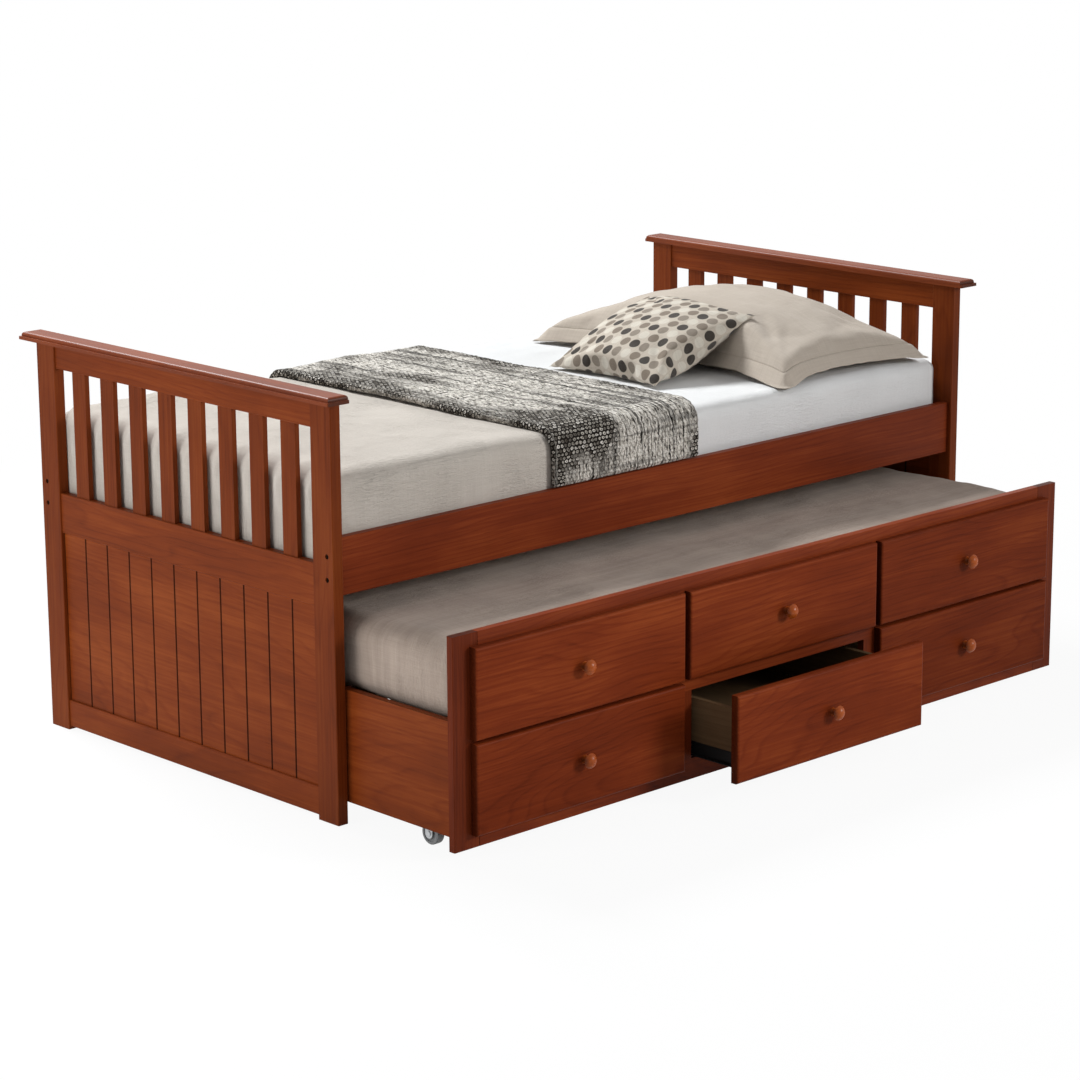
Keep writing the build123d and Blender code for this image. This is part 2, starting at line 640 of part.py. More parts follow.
def frame_parts():
    """Side rails, bolts, nuts, cleats and slats of the bed."""
    bolts = []
    nuts = []
    cleats = []
    for side in SIDES.values():
        for end in ENDS.values():
            for z in BOLT_HEIGHTS:
                bolts.append(rail_bolt(end, side, z))
                nuts.append(barrel_nut(end, side, z))
        cleats.append(
            block(
                -INNER_HALF + CLEAT_SIZE, INNER_HALF - CLEAT_SIZE,
                side * (RAIL_INNER - CLEAT_SIZE), side * RAIL_INNER, CLEAT_TOP - CLEAT_SIZE, CLEAT_TOP
            )
        )
    slats = []
    reach = RAIL_INNER - BED_SLAT_GAP
    for x in spread(BED_SLAT_COUNT, INNER_HALF - CLEAT_SIZE, BED_SLAT_WIDTH):
        half = BED_SLAT_WIDTH / 2
        slats.append(block(x - half, x + half, -reach, reach, CLEAT_TOP, CLEAT_TOP + BED_SLAT_THICK))
    return {
        "side_rail_front": side_rail(SIDES["front"]),
        "side_rail_rear": side_rail(SIDES["rear"]),
        "slat_cleats": cleats,
        "bed_slats": slats,
        "rail_bolts": bolts,
        "barrel_nuts": nuts,
    }


def bedding_parts():
    """Mattresses, cover, throw, pillow and cushion."""
    throw_gap = COVER_THICK + 2 * COVER_GAP
    low_y0 = FRAME_BACK + LOW_MATTRESS_SIDE_GAP
    low_y1 = BAY_BACK - LOW_MATTRESS_SIDE_GAP
    return {
        "upper_mattress": rounded_block(
            -MATTRESS_LENGTH / 2, MATTRESS_LENGTH / 2, -MATTRESS_WIDTH / 2, MATTRESS_WIDTH / 2,
            MATTRESS_BASE, MATTRESS_TOP, MATTRESS_ROUND
        ),
        "bed_cover": mattress_shell(COVER_GAP, COVER_THICK, -BED_LENGTH, COVER_END, COVER_HEM),
        "throw_blanket": mattress_shell(
            throw_gap, THROW_THICK, THROW_FROM, THROW_FROM + THROW_WIDTH, RAIL_TOP + THROW_HEM_GAP
        ),
        "pillow": pillow(),
        "dot_cushion": cushion(),
        "trundle_mattress": rounded_block(
            -LOW_MATTRESS_LENGTH / 2, LOW_MATTRESS_LENGTH / 2, low_y0, low_y1,
            DECK_TOP, DECK_TOP + LOW_MATTRESS_HEIGHT, MATTRESS_ROUND
        ),
    }


def trundle_parts():
    """Face frame, carcass, false fronts, runners and casters of the trundle."""
    rail_ends = (-OPENING_END, OPENING_END, FRAME_FACE, FRAME_BACK)
    parts = {
        "trundle_front_top_rail": block(*rail_ends, FRAME_TOP - FRAME_TOP_RAIL, FRAME_TOP),
        "trundle_front_mid_rail": block(*rail_ends, MID_RAIL_Z, MID_RAIL_Z + FRAME_MID_RAIL),
        "trundle_front_bottom_rail": block(*rail_ends, FRAME_BOTTOM, FRAME_BOTTOM + FRAME_BOTTOM_RAIL),
        "trundle_front_stiles": face_frame_uprights(),
        "trundle_back_panel": block(
            -CARCASS_HALF, CARCASS_HALF, BAY_BACK, TRUNDLE_BACK, CARCASS_BOTTOM, CARCASS_TOP
        ),
        "trundle_battens": battens(),
        "trundle_deck_slats": deck_slats(),
    }
    for name, end in ENDS.items():
        parts[f"trundle_end_panel_{name}"] = block(
            end * BAY_HALF, end * CARCASS_HALF, FRAME_BACK, BAY_BACK, CARCASS_BOTTOM, CARCASS_TOP
        )
    dividers = []
    for s in (-1, 1):
        x = s * COLUMN_PITCH / 2
        half = DIVIDER_THICK / 2
        dividers.append(block(x - half, x + half, FRAME_BACK, BAY_BACK, CARCASS_BOTTOM, DECK_BASE))
    parts["trundle_dividers"] = dividers

    knobs = []
    channels = []
    for name, x in COLUMNS.items():
        parts[f"false_front_{name}"] = front_board(x, UPPER_ROW, FRAME_FACE)
        knobs.append(knob(x, UPPER_ROW + FRONT_HEIGHT / 2, FRAME_FACE - FRONT_THICK))
        channels += [fixed_runner(x, s) for s in (-1, 1)]
    parts["false_front_knobs"] = knobs
    parts["fixed_runners"] = channels

    forks = []
    for end_name, end in ENDS.items():
        for side_name, y in CASTER_YS.items():
            forks += caster_fork(end * CASTER_X, y)
            parts[f"caster_wheel_{end_name}_{side_name}"] = wheel(end * CASTER_X, y)
    parts["caster_forks"] = forks
    return parts


def drawer_parts(name):
    """Front, knob, box and runners of one drawer, as far out as it stands at rest."""
    x = COLUMNS[name]
    back = FRAME_FACE - FRONT_STANDOFF - DRAWER_OUT[name]
    return {
        f"drawer_{name}_front": front_board(x, LOWER_ROW, back),
        f"drawer_{name}_knob": knob(x, LOWER_ROW + FRONT_HEIGHT / 2, back - FRONT_THICK),
        f"drawer_{name}_box": drawer_box(x, back),
        f"drawer_{name}_runners": [drawer_runner(x, s, back) for s in (-1, 1)],
    }


def all_parts():
    """Every piece by name, about the middle of the bed."""
    parts = {}
    for name, end in (("footboard", ENDS["foot"]), ("headboard", ENDS["head"])):
        parts.update(board_parts(name, end))
    parts.update(frame_parts())
    parts.update(bedding_parts())
    parts.update(trundle_parts())
    for name in COLUMNS:
        parts.update(drawer_parts(name))
    return parts


def main():
    os.makedirs("parts", exist_ok=True)
    shift = Pos(0, FRAME_SHIFT, 0)
    for name, shape in all_parts().items():
        if isinstance(shape, list):
            placed = Compound(children=[shift * piece for piece in shape])
        else:
            placed = shift * shape
        export_step(placed, f"parts/{name}.step")


if __name__ == "__main__":
    main()
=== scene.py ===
import json
import math

import bpy
import numpy as np
from mathutils import Matrix, Vector, noise
from mathutils.bvhtree import BVHTree


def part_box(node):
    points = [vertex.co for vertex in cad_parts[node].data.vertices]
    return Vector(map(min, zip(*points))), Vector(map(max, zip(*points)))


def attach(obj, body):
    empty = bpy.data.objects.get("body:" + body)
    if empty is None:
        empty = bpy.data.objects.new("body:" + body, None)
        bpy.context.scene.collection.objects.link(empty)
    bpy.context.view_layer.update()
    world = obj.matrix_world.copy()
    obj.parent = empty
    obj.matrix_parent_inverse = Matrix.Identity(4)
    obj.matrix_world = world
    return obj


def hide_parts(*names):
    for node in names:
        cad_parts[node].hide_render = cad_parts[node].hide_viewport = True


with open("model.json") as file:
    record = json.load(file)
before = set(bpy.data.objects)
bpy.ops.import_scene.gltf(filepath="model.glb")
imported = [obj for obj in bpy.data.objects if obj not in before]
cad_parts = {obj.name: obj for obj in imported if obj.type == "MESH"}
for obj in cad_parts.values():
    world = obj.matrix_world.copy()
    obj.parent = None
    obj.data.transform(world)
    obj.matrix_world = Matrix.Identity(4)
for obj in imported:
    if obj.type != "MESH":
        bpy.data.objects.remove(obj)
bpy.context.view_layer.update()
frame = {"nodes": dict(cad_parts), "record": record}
nodes = frame["nodes"]

# Camera fitted to the photo: place in metres, direction and roll in degrees, lens and sensor in millimetres
CAMERA_PLACE = (-5.20819, -5.30350, 2.25128)
CAMERA_AZIMUTH = 43.5658
CAMERA_DROP = 14.0062
CAMERA_ROLL = -0.3383
CAMERA_LENS = 108.999
CAMERA_SENSOR = 36

# Studio: light of the world on surfaces, colour of the key light, and the floor in metres from its middle
WORLD_LIGHT = 0.30
KEY_COLOUR = (0.955, 0.98, 1.0)
FLOOR_TONE = 0.82
FLOOR_REACH = 30.0
FLOOR_DROP = 0.0005
FLOOR_SHADOW = (1.6, 3.2)
FLOOR_WHITE = 0.93

# Wood tones, dark to light, as linear colours
CHERRY = ((0.086, 0.0144, 0.0030), (0.180, 0.0335, 0.0058), (0.278, 0.0640, 0.0125))
FRONT_WOOD = ((0.082, 0.0118, 0.0034), (0.176, 0.0285, 0.0070), (0.296, 0.0615, 0.0145))
KNOB_WOOD = ((0.250, 0.0440, 0.0060), (0.350, 0.0720, 0.0110), (0.430, 0.1050, 0.0200))
BOX_WOOD = ((0.075, 0.0430, 0.0210), (0.130, 0.0790, 0.0400), (0.200, 0.1280, 0.0680))
PINE = ((0.330, 0.1900, 0.0850), (0.450, 0.2850, 0.1400), (0.560, 0.3800, 0.2050))

# Pieces whose stain is darker (stiles, posts and slats), and the fronts and drawers at the head end,
# darkened as painted shade of light that falls off there, with their share of the tone
DARKER_STAIN_AND_PAINTED_SHADE = {"stiles": 0.80, "board_post": 0.84, "board_slats": 0.86, "front_head": 0.85, "drawer_head": 0.85}

# Gloss of the stained pieces
CAP_GLOSS = 0.15
FRONT_GLOSS = 0.03
WOOD_GLOSS = 0.06

# Grain of the wood: noise scales along and across it, and the shares of its layers in the tone
BLOTCH_SCALE = (2.6, 8.0)
STREAK_SCALE = (2.4, 170.0)
PORE_SCALE = (26.0, 520.0)
SWAY_SCALE = (1.3, 6.0)
BLOTCH_SHARE = 0.60
STREAK_SHARE = 0.45
PORE_SHARE = 0.7
END_GRAIN = 0.40
GRAIN_DEEP = 0.0006

# Rolling marks on steel: noise scales along and across them
MARK_SCALE = (12.0, 260.0)

# Growth rings in metres, and the tilt of the line that they go round in radians
RING_WIDTH = 0.009
RING_SWAY = 0.085
RING_TILT = 0.035

# Panel of the head and foot boards in metres, and how dark it is along its grooves by centimetres from their
# middle
PANEL_BOARDS = 11
PANEL_WIDTH = 0.898
GROOVE_DARKENING = ((0.17, 0.22), (0.32, 1.0))

# Plain weave: shader values, noise scales along and across the threads, and shares in the tone
CLOTH_SHADER = {"Roughness": 0.9, "Specular IOR Level": 0.1, "Sheen Weight": 0.15, "Sheen Roughness": 0.5}
FINE_THREAD = (14.0, 420.0)
THICK_THREAD = (9.0, 130.0)
STREAK_BAND = (2.5, 38.0)
CREASE_SCALE = (7, 34, 1)
CREASE_TURN = (0, 0, 0.35)
THICK_SHARE = 0.4
PATCH_SHARE = 0.35
SLUB_HEIGHT = 1.2
THREAD_DEEP = 0.0005
SHEET_TONES = ((0.735, 0.735, 0.73), (0.82, 0.82, 0.815))
COVER_TONES = ((0.455, 0.411, 0.361), (0.625, 0.571, 0.510))
LOW_TONES = ((0.285, 0.223, 0.180), (0.505, 0.410, 0.343))
PILLOW_TONES = ((0.41, 0.347, 0.285), (0.565, 0.495, 0.420))
SHEET_WEAVE = 0.0009
LINEN_WEAVE = 0.0012
FINE_WEAVE = 0.0011

# Folds of the bedding: roughness, step between layers and number of layers of their noise
FOLD_NOISE = (0.6, 2.0, 3)
PUCKER_NOISE = (0.7, 2.0, 2)

# Mattresses: sizes in metres, and the least length of a direction that is divided by
UPPER_ROUND = 0.033
LOWER_ROUND = 0.054
CORNER_POWER = 5
MATTRESS_CELL = 0.014
MATTRESS_SETTLE = 0.0035
TINY = 1e-9

# Cover: sizes and heights in metres
COVER_CELL = 0.0115
COVER_CLOTH = 0.003
COVER_OFF = 0.003
COVER_END = -0.13
COVER_HEM = 0.566
COVER_PUFF = 0.012
COVER_ROOM = 0.010
COVER_SINK = 0.004
PUFF_REACH = 0.30
FREE_REACH = 0.06
FOOT_HEM = 0.543
FOOT_FACING = -0.3
FOOT_REACH = 0.25
EDGE_INSET = 0.03
EDGE_REACH = 0.09
TUCK_HEIGHT = 0.625
TUCK_REACH = 0.03
SLAT_PITCH = 0.105
SLAT_ROOM = 0.010
SLATS_HALF = 0.43
CRUMPLE_SLANT = 0.35
CRUMPLE_LONG = 0.24
CRUMPLE_WIDE = 0.055
CRUMPLE_PATCH = 0.22
CRUMPLE_DEEP = 0.010

# Points of the line across the bed: up a side, round an edge, and from an edge to the middle
SIDE_POINTS = 12
EDGE_POINTS = 13
TOP_POINTS = 28

# Throw: shader values, sizes in metres, patches as flat place, reach and tone, and tones as linear colours
KNIT_SHADER = {"Roughness": 0.95, "Specular IOR Level": 0.05, "Sheen Weight": 0.04, "Sheen Roughness": 0.5}
THROW_CLOTH = 0.015
THROW_OFF = 0.008
ROLL_SHARE = 0.30
ROLL_REACH = 0.012
THROW_FROM = -0.361
THROW_TO = 0.100
THROW_HEM = 0.622
THROW_ROWS = 170
THROW_COLUMNS = 56
THROW_TURN = 7
THROW_END = 0.35
DRAPE_SCALE = Vector((1.0, 0.35, 0.35)) / 0.16
DRAPE_DEEP = 0.004
LUMP_SIZE = 0.4
LUMP_DEEP = 0.005
SLIDE_SIZE = 0.12
SLIDE_DEEP = 0.006
KNIT_SIZE = 0.0085
KNIT_DEEP = 0.0016
STITCH_WIDE = 0.0115
STITCH_LONG = 0.0085
STITCH_SHAKE = 0.0068
STITCH_DEEP = 0.004
SLUB_SCALE = (60.0, 190.0)
DASH_SCALE = (22.0, 75.0)
ZONE_SCALE = (5.0, 14.0)
LONG_BAND = (1.6, 58.0)
CROSS_BAND = (3.0, 75.0)
DYE_PATCHES = (
    ((0.10, 0.16), 0.17, -0.45),
    ((0.33, 0.17), 0.07, -0.25),
    ((0.04, 0.80), 0.25, -0.15),
    ((0.34, 0.08), 0.20, 0.20),
    ((0.24, 0.50), 0.30, 0.15),
)
# Less cream along the throw's long edges and round its rim, as painted shade: place round the section in
# metres and the cream share
EDGE_PAINTED_SHADE = ((0.0, 0.0), (0.03, 0.25), (0.39, 0.25), (0.44, 0.10))
BLACK_YARN = (0.013, 0.010, 0.008)
BROWN_YARN = (0.070, 0.057, 0.044)
TAN_YARN = (0.220, 0.200, 0.172)
CREAM_YARN = (0.500, 0.462, 0.402)
WHITE_YARN = (0.810, 0.768, 0.705)

# Pillow and cushion: sizes in metres, tilt in degrees, pressure in the cloth simulation's own unit
BAG_PUFF = 0.012
SIM_FRAMES = 25
PILLOW_FLAT = (0.490, 0.830)
PILLOW_SIZE = (0.466, 0.802, 0.152)
PILLOW_MIDDLE = (0.664, 0.18775)
PILLOW_CELL = 0.010
PILLOW_PRESSURE = 1.2
PILLOW_FULLNESS = 0.84
PILLOW_WAIST = 0.065
PILLOW_SEAM = 0.046
PILLOW_SINK = 0.002
PILLOW_DROOP = 0.016
PILLOW_HANG = 0.40
PINCH_SHARE = 0.50
PINCH_REACH = 0.022
PUCKER_LONG = 0.026
PUCKER_DEEP = 0.0015
PUCKER_REACH = 0.030
DIMPLE_REACH = 0.05
FLANGE_WIDTH = 0.030
FLANGE_NARROW = 0.70
FLANGE_CLOTH = 0.0025
FLANGE_DROOP = 0.040
FLANGE_CORNER = 0.25
FLANGE_INSIDE = 0.2
FLANGE_RINGS = 6
FLANGE_PUCKER = 0.8
EVEN_ROUNDS = 6
CUSHION_FLAT = (0.395, 0.390)
CUSHION_SIZE = (0.372, 0.366, 0.118)
CUSHION_MIDDLE = (0.365, 0.15875, 0.80145)
CUSHION_CELL = 0.009
CUSHION_PRESSURE = 2.2
CUSHION_TILT = 20.0
CUSHION_ON_BED = 0.001
CUSHION_ON_PILLOW = 0.003
HIGH_ABOVE = 2.0

# Dots of the cushion: sizes in metres, and tones in the order that they follow each other along a line
DOT_PITCH = 0.0376
DOT_ROW = 0.0315
DOT_RADIUS = 0.0133
DOT_TALL = 1.18
DOT_SHAKE = 0.0008
DOT_GROUND = ((0.42, 0.365, 0.295), (0.55, 0.485, 0.405))
DOT_TONES = (
    (0.0, (0.052, 0.043, 0.036)),
    (0.25, (0.228, 0.183, 0.141)),
    (0.50, (0.640, 0.590, 0.505)),
    (0.75, (0.262, 0.220, 0.176)),
)


# Shader nodes

def grey(value):
    """Colour of an even grey."""
    return (value, value, value)


def feed(tree, node, inputs):
    """Sets a node's inputs, each to a value or another node's output."""
    for key, value in inputs.items():
        socket = node.inputs[key]
        if isinstance(value, bpy.types.NodeSocket):
            tree.links.new(value, socket)
        else:
            socket.default_value = (*value, 1) if socket.type == "RGBA" else value


def add(tree, kind, inputs=None, **settings):
    """New shader node."""
    node = tree.nodes.new("ShaderNode" + kind)
    for key, value in settings.items():
        setattr(node, key, value)
    feed(tree, node, inputs or {})
    return node


def maths(tree, operation, *values):
    """Output of a math node."""
    return add(tree, "Math", dict(enumerate(values)), operation=operation).outputs[0]


def scaled(tree, value, share, start):
    """A share of a value, added to a start."""
    return maths(tree, "MULTIPLY_ADD", value, share, start)


def distance(tree, a, b):
    """Length of the long side of a right triangle."""
    return maths(tree, "SQRT", scaled(tree, a, a, maths(tree, "MULTIPLY", b, b)))


def in_cell(tree, value):
    """Place in a cell of length 1, from -0.5 to 0.5."""
    return maths(tree, "SUBTRACT", maths(tree, "FRACT", value), 0.5)


def parts_of(tree, vector):
    """Outputs for the three parts of a vector."""
    return add(tree, "SeparateXYZ", {"Vector": vector}).outputs


def ramp(tree, value, stops, interpolation="LINEAR"):
    """Output of a colour ramp through (place, colour) stops, where a single number is a grey."""
    node = add(tree, "ValToRGB", {"Fac": value})
    node.color_ramp.interpolation = interpolation
    elements = node.color_ramp.elements
    while len(elements) < len(stops):
        elements.new(0.5)
    for element, (place, colour) in zip(elements, stops):
        element.position = place
        element.color = (*(grey(colour) if isinstance(colour, float) else colour), 1)
    return node.outputs["Color"]


def mix(tree, factor, a, b, blend="MIX"):
    """Output of a colour mix."""
    inputs = {"Factor": factor, 6: a, 7: b}
    return add(tree, "Mix", inputs, data_type="RGBA", blend_type=blend).outputs[2]


def new_material(name, values):
    """Material with its shader's plain values set."""
    material = bpy.data.materials.new(name)
    material.use_nodes = True
    tree = material.node_tree
    shader = tree.nodes["Principled BSDF"]
    feed(tree, shader, values)
    return material, tree, shader


def noise_value(tree, point, scale, detail, rough=0.55, distortion=0.0):
    """Output of a noise texture."""
    inputs = {"Vector": point, "Scale": scale, "Detail": detail, "Roughness": rough}
    return add(tree, "TexNoise", {**inputs, "Distortion": distortion}).outputs["Fac"]


def long_noise(tree, point, axis, scales, detail, rough=0.55, place=(0, 0, 0)):
    """Noise with one scale along an axis and another across it."""
    scale = [scales[1]] * 3
    scale[axis] = scales[0]
    moved = add(tree, "Mapping", {"Vector": point, "Location": place, "Scale": scale})
    return noise_value(tree, moved.outputs["Vector"], 1.0, detail, rough)


def bump(tree, shader, height, depth, strength=1.0):
    """Bump on a shader from a height, on top of any bump that it has."""
    node = add(tree, "Bump", {"Height": height, "Distance": depth, "Strength": strength})
    for link in shader.inputs["Normal"].links:
        tree.links.new(link.from_socket, node.inputs["Normal"])
    tree.links.new(node.outputs["Normal"], shader.inputs["Normal"])


def tinted(tree, shader, tone, colour, shares, rough):
    """Colour, between two shares of it, and roughness that follow a tone."""
    low, high = ([share * c for c in colour] for share in shares)
    colours = ramp(tree, tone, [(0.3, low), (0.7, high)])
    feed(tree, shader, {"Base Color": colours, "Roughness": scaled(tree, tone, 0.2, rough - 0.1)})


# Wood, metal and plastic

def wood(name, axis, tones, seed, figure=0.12, rough=0.42, gloss=0.07, coat=0.0, shade=1.0, grooves=False):
    """Stained wood: streaks, soft blotches, faint growth rings, pores and dark end grain."""
    values = {"Coat Weight": coat, "Coat Roughness": 0.18, "Specular IOR Level": gloss}
    material, tree, shader = new_material(name, values)
    turn = Vector((math.sin(seed * 1.7), math.cos(seed * 2.3), math.sin(seed * 3.1)))
    shift = (0.13 * turn.x + seed * 0.37, 0.11 * turn.y + seed * 0.21, 0.12 * turn.z + seed * 0.29)
    point = add(tree, "TexCoord").outputs["Object"]
    blotch = long_noise(tree, point, axis, BLOTCH_SCALE, 3.0, place=shift)
    streaks = long_noise(tree, point, axis, STREAK_SCALE, 5.0, 0.6, shift)
    pores = long_noise(tree, point, axis, PORE_SCALE, 2.0, place=shift)
    rings = growth_rings(tree, point, axis, turn, shift)
    tone = 0.5 - (BLOTCH_SHARE + STREAK_SHARE + figure) / 2
    for layer, share in ((blotch, BLOTCH_SHARE), (streaks, STREAK_SHARE), (rings, figure)):
        tone = scaled(tree, layer, share, tone)
    colour = ramp(tree, tone, list(zip((0.2, 0.5, 0.8), tones)))
    specks = ramp(tree, pores, [(0.58, 1.0), (0.72, 0.74)])
    colour = mix(tree, PORE_SHARE, colour, specks, "MULTIPLY")
    normal = parts_of(tree, add(tree, "NewGeometry").outputs["True Normal"])[axis]
    # The share darkens the whole colour: darker stain on most pieces, painted shade on the head-end fronts
    # and drawers
    ends = ramp(tree, maths(tree, "ABSOLUTE", normal), [(0.55, shade), (0.95, END_GRAIN * shade)])
    colour = mix(tree, 1.0, colour, ends, "MULTIPLY")
    # Panel pieces are darker along their grooves
    if grooves:
        colour = mix(tree, 1.0, colour, groove_darkening(tree, point), "MULTIPLY")
    feed(tree, shader, {"Base Color": colour, "Roughness": scaled(tree, streaks, 0.16, rough - 0.08)})
    bump(tree, shader, scaled(tree, pores, -0.6, streaks), GRAIN_DEEP, 0.3)
    return material


def growth_rings(tree, point, axis, turn, shift):
    """Faint rings about a slightly tilted line along the grain, from 0 to 1."""
    sway = long_noise(tree, point, axis, SWAY_SCALE, 2.0, place=shift)
    tilt = [RING_TILT * turn.y, RING_TILT * turn.z, RING_TILT * turn.x]
    pith = [0.06 * turn.x, 0.09 + 0.03 * turn.y, 0.05 * turn.z]
    pith[axis] = 0.0
    core = add(tree, "Mapping", {"Vector": point, "Location": pith, "Rotation": tilt}).outputs["Vector"]
    parts = parts_of(tree, core)
    first, second = [parts[i] for i in range(3) if i != axis]
    swayed = scaled(tree, sway, RING_SWAY, distance(tree, second, first))
    part = maths(tree, "FRACT", maths(tree, "DIVIDE", swayed, RING_WIDTH))
    return ramp(tree, part, [(0.0, 0.0), (0.14, 0.6), (0.8, 0.5), (1.0, 0.0)])


def groove_darkening(tree, point):
    """Darker lines along the grooves between the boards of a panel."""
    low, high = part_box("footboard_panel")
    pitch = PANEL_WIDTH / PANEL_BOARDS
    first = (low.y + high.y) / 2 - PANEL_WIDTH / 2
    y = parts_of(tree, point)[1]
    boards = maths(tree, "DIVIDE", maths(tree, "SUBTRACT", y, first - pitch / 2), pitch)
    away = maths(tree, "ABSOLUTE", in_cell(tree, boards))
    centimetres = maths(tree, "MULTIPLY", away, pitch * 100)
    return ramp(tree, centimetres, GROOVE_DARKENING)


def metal(name, colour, rough, metallic, gloss=0.5):
    """Steel with faint wear and rolling marks."""
    material, tree, shader = new_material(name, {"Metallic": metallic, "Specular IOR Level": gloss})
    point = add(tree, "TexCoord").outputs["Object"]
    marks = long_noise(tree, point, 1, MARK_SCALE, 4.0)
    cloud = noise_value(tree, point, 18.0, 3.0)
    tone = scaled(tree, marks, 0.5, maths(tree, "MULTIPLY", cloud, 0.5))
    tinted(tree, shader, tone, colour, (0.72, 1.22), rough)
    bump(tree, shader, marks, 0.0002, 0.3)
    return material


def plastic(name, colour, rough):
    """Moulded plastic with a fine grain."""
    material, tree, shader = new_material(name, {})
    point = add(tree, "TexCoord").outputs["Object"]
    grain = noise_value(tree, point, 900.0, 2.0)
    cloud = noise_value(tree, point, 35.0, 3.0)
    tinted(tree, shader, cloud, colour, (0.8, 1.15), rough)
    bump(tree, shader, grain, 0.0003, 0.4)
    return material


# Cloth

def weave_bump(tree, shader, flat, pitch, fine):
    """Bump of a plain weave: uneven threads that pass over and under each other."""
    parts = parts_of(tree, flat)
    waves = (maths(tree, "SINE", maths(tree, "MULTIPLY", parts[n], math.pi / pitch)) for n in (0, 1))
    height = scaled(tree, fine, SLUB_HEIGHT, maths(tree, "MULTIPLY", *waves))
    bump(tree, shader, height, THREAD_DEEP, 0.5)


def uneven_threads(tree, flat, scale, detail, rough=0.55):
    """Sum of the tones of uneven threads both ways."""
    ways = (long_noise(tree, flat, axis, scale, detail, rough) for axis in (0, 1))
    return maths(tree, "ADD", *ways)


def fine_creases(tree, flat):
    """Height of small creases that run aslant over the cloth in some places."""
    turned = add(tree, "Mapping", {"Vector": flat, "Rotation": CREASE_TURN, "Scale": CREASE_SCALE})
    lines = noise_value(tree, turned.outputs["Vector"], 5.0, 2.0, 0.5, distortion=0.6)
    backs = maths(tree, "ABSOLUTE", maths(tree, "SUBTRACT", lines, 0.5))
    sharp = ramp(tree, backs, [(0.0, 1.0), (0.12, 0.0)], "EASE")
    places = ramp(tree, noise_value(tree, flat, 5.5, 2.0), [(0.35, 0.0), (0.75, 1.0)])
    return maths(tree, "MULTIPLY", sharp, places)


def cloth(name, tones, weave, slub, crease, streak=0.0):
    """Woven cloth on its flat map: plain weave, uneven threads, soft patches, streaks and creases."""
    material, tree, shader = new_material(name, CLOTH_SHADER)
    flat = add(tree, "TexCoord").outputs["UV"]
    fine = uneven_threads(tree, flat, FINE_THREAD, 3.0, 0.6)
    thick = uneven_threads(tree, flat, THICK_THREAD, 2.0)
    patch = noise_value(tree, flat, 7.0, 3.0)
    streaks = long_noise(tree, flat, 0, STREAK_BAND, 4.0, 0.6)
    tone = 0.5 - (1 + THICK_SHARE) * slub - (PATCH_SHARE + streak) / 2
    layers = ((fine, slub), (thick, THICK_SHARE * slub), (patch, PATCH_SHARE), (streaks, streak))
    for layer, share in layers:
        tone = scaled(tree, layer, share, tone)
    feed(tree, shader, {"Base Color": ramp(tree, tone, list(zip((0.2, 0.8), tones)))})
    bump(tree, shader, fine_creases(tree, flat), crease)
    weave_bump(tree, shader, flat, weave, fine)
    return material


def tweed(name):
    """Chunky throw: pale loops on black in the dark patches, dark dashes and bands on cream elsewhere."""
    material, tree, shader = new_material(name, KNIT_SHADER)
    flat = add(tree, "TexCoord").outputs["UV"]
    shaken = shaken_map(tree, flat, 110.0, STITCH_SHAKE)
    on_black, stitch = loops_on_black(tree, shaken)
    on_cream = dashes_on_cream(tree, shaken)
    colour = mix(tree, cream_share(tree, flat), on_black, on_cream)
    feed(tree, shader, {"Base Color": colour})
    fuzz = noise_value(tree, flat, 700.0, 2.0)
    bump(tree, shader, scaled(tree, fuzz, 0.35, stitch), STITCH_DEEP, 0.8)
    return material


def loops_on_black(tree, shaken):
    """Loops in tones from brown to white on black, and the height of their stitches."""
    cell, du, dv = staggered(tree, shaken, STITCH_WIDE, STITCH_LONG)
    away = distance(tree, du, dv)
    stitch = ramp(tree, away, [(0.26, 1.0), (0.47, 0.0)])
    loop = ramp(tree, away, [(0.08, 0.10), (0.22, 1.0), (0.30, 1.0), (0.42, 0.0)])
    chance = add(tree, "TexWhiteNoise", {"Vector": cell}, noise_dimensions="2D").outputs["Value"]
    tones = ramp(tree, chance, [(0.0, BROWN_YARN), (0.25, TAN_YARN), (0.6, CREAM_YARN), (1.0, WHITE_YARN)])
    return mix(tree, loop, BLACK_YARN, tones), stitch


def dashes_on_cream(tree, shaken):
    """Cream with dark slubs, dark dashes between the columns of stitches, and bands."""
    slubs = long_noise(tree, shaken, 1, SLUB_SCALE, 3.0, 0.7)
    pale = ramp(tree, slubs, [(0.36, BLACK_YARN), (0.45, CREAM_YARN), (0.55, WHITE_YARN)])
    column = maths(tree, "DIVIDE", parts_of(tree, shaken)[0], STITCH_WIDE)
    beside = maths(tree, "ABSOLUTE", in_cell(tree, column))
    broken = long_noise(tree, shaken, 1, DASH_SCALE, 2.0, 0.7)
    dashes = ramp(tree, scaled(tree, beside, 0.9, broken), [(0.86, 0.0), (0.98, 1.0)])
    dashed = mix(tree, dashes, pale, BLACK_YARN)
    return mix(tree, 1.0, dashed, bands(tree, shaken), "MULTIPLY")


def bands(tree, shaken):
    """Uneven dark bands along the throw and thinner ones across it."""
    lengthways = long_noise(tree, shaken, 1, LONG_BAND, 2.0)
    crossways = long_noise(tree, shaken, 0, CROSS_BAND, 2.0, place=(0.4, 0.2, 0))
    wide = ramp(tree, lengthways, [(0.37, 0.30), (0.46, 1.0)])
    thin = ramp(tree, crossways, [(0.34, 0.50), (0.43, 1.0)])
    return mix(tree, 1.0, wide, thin, "MULTIPLY")


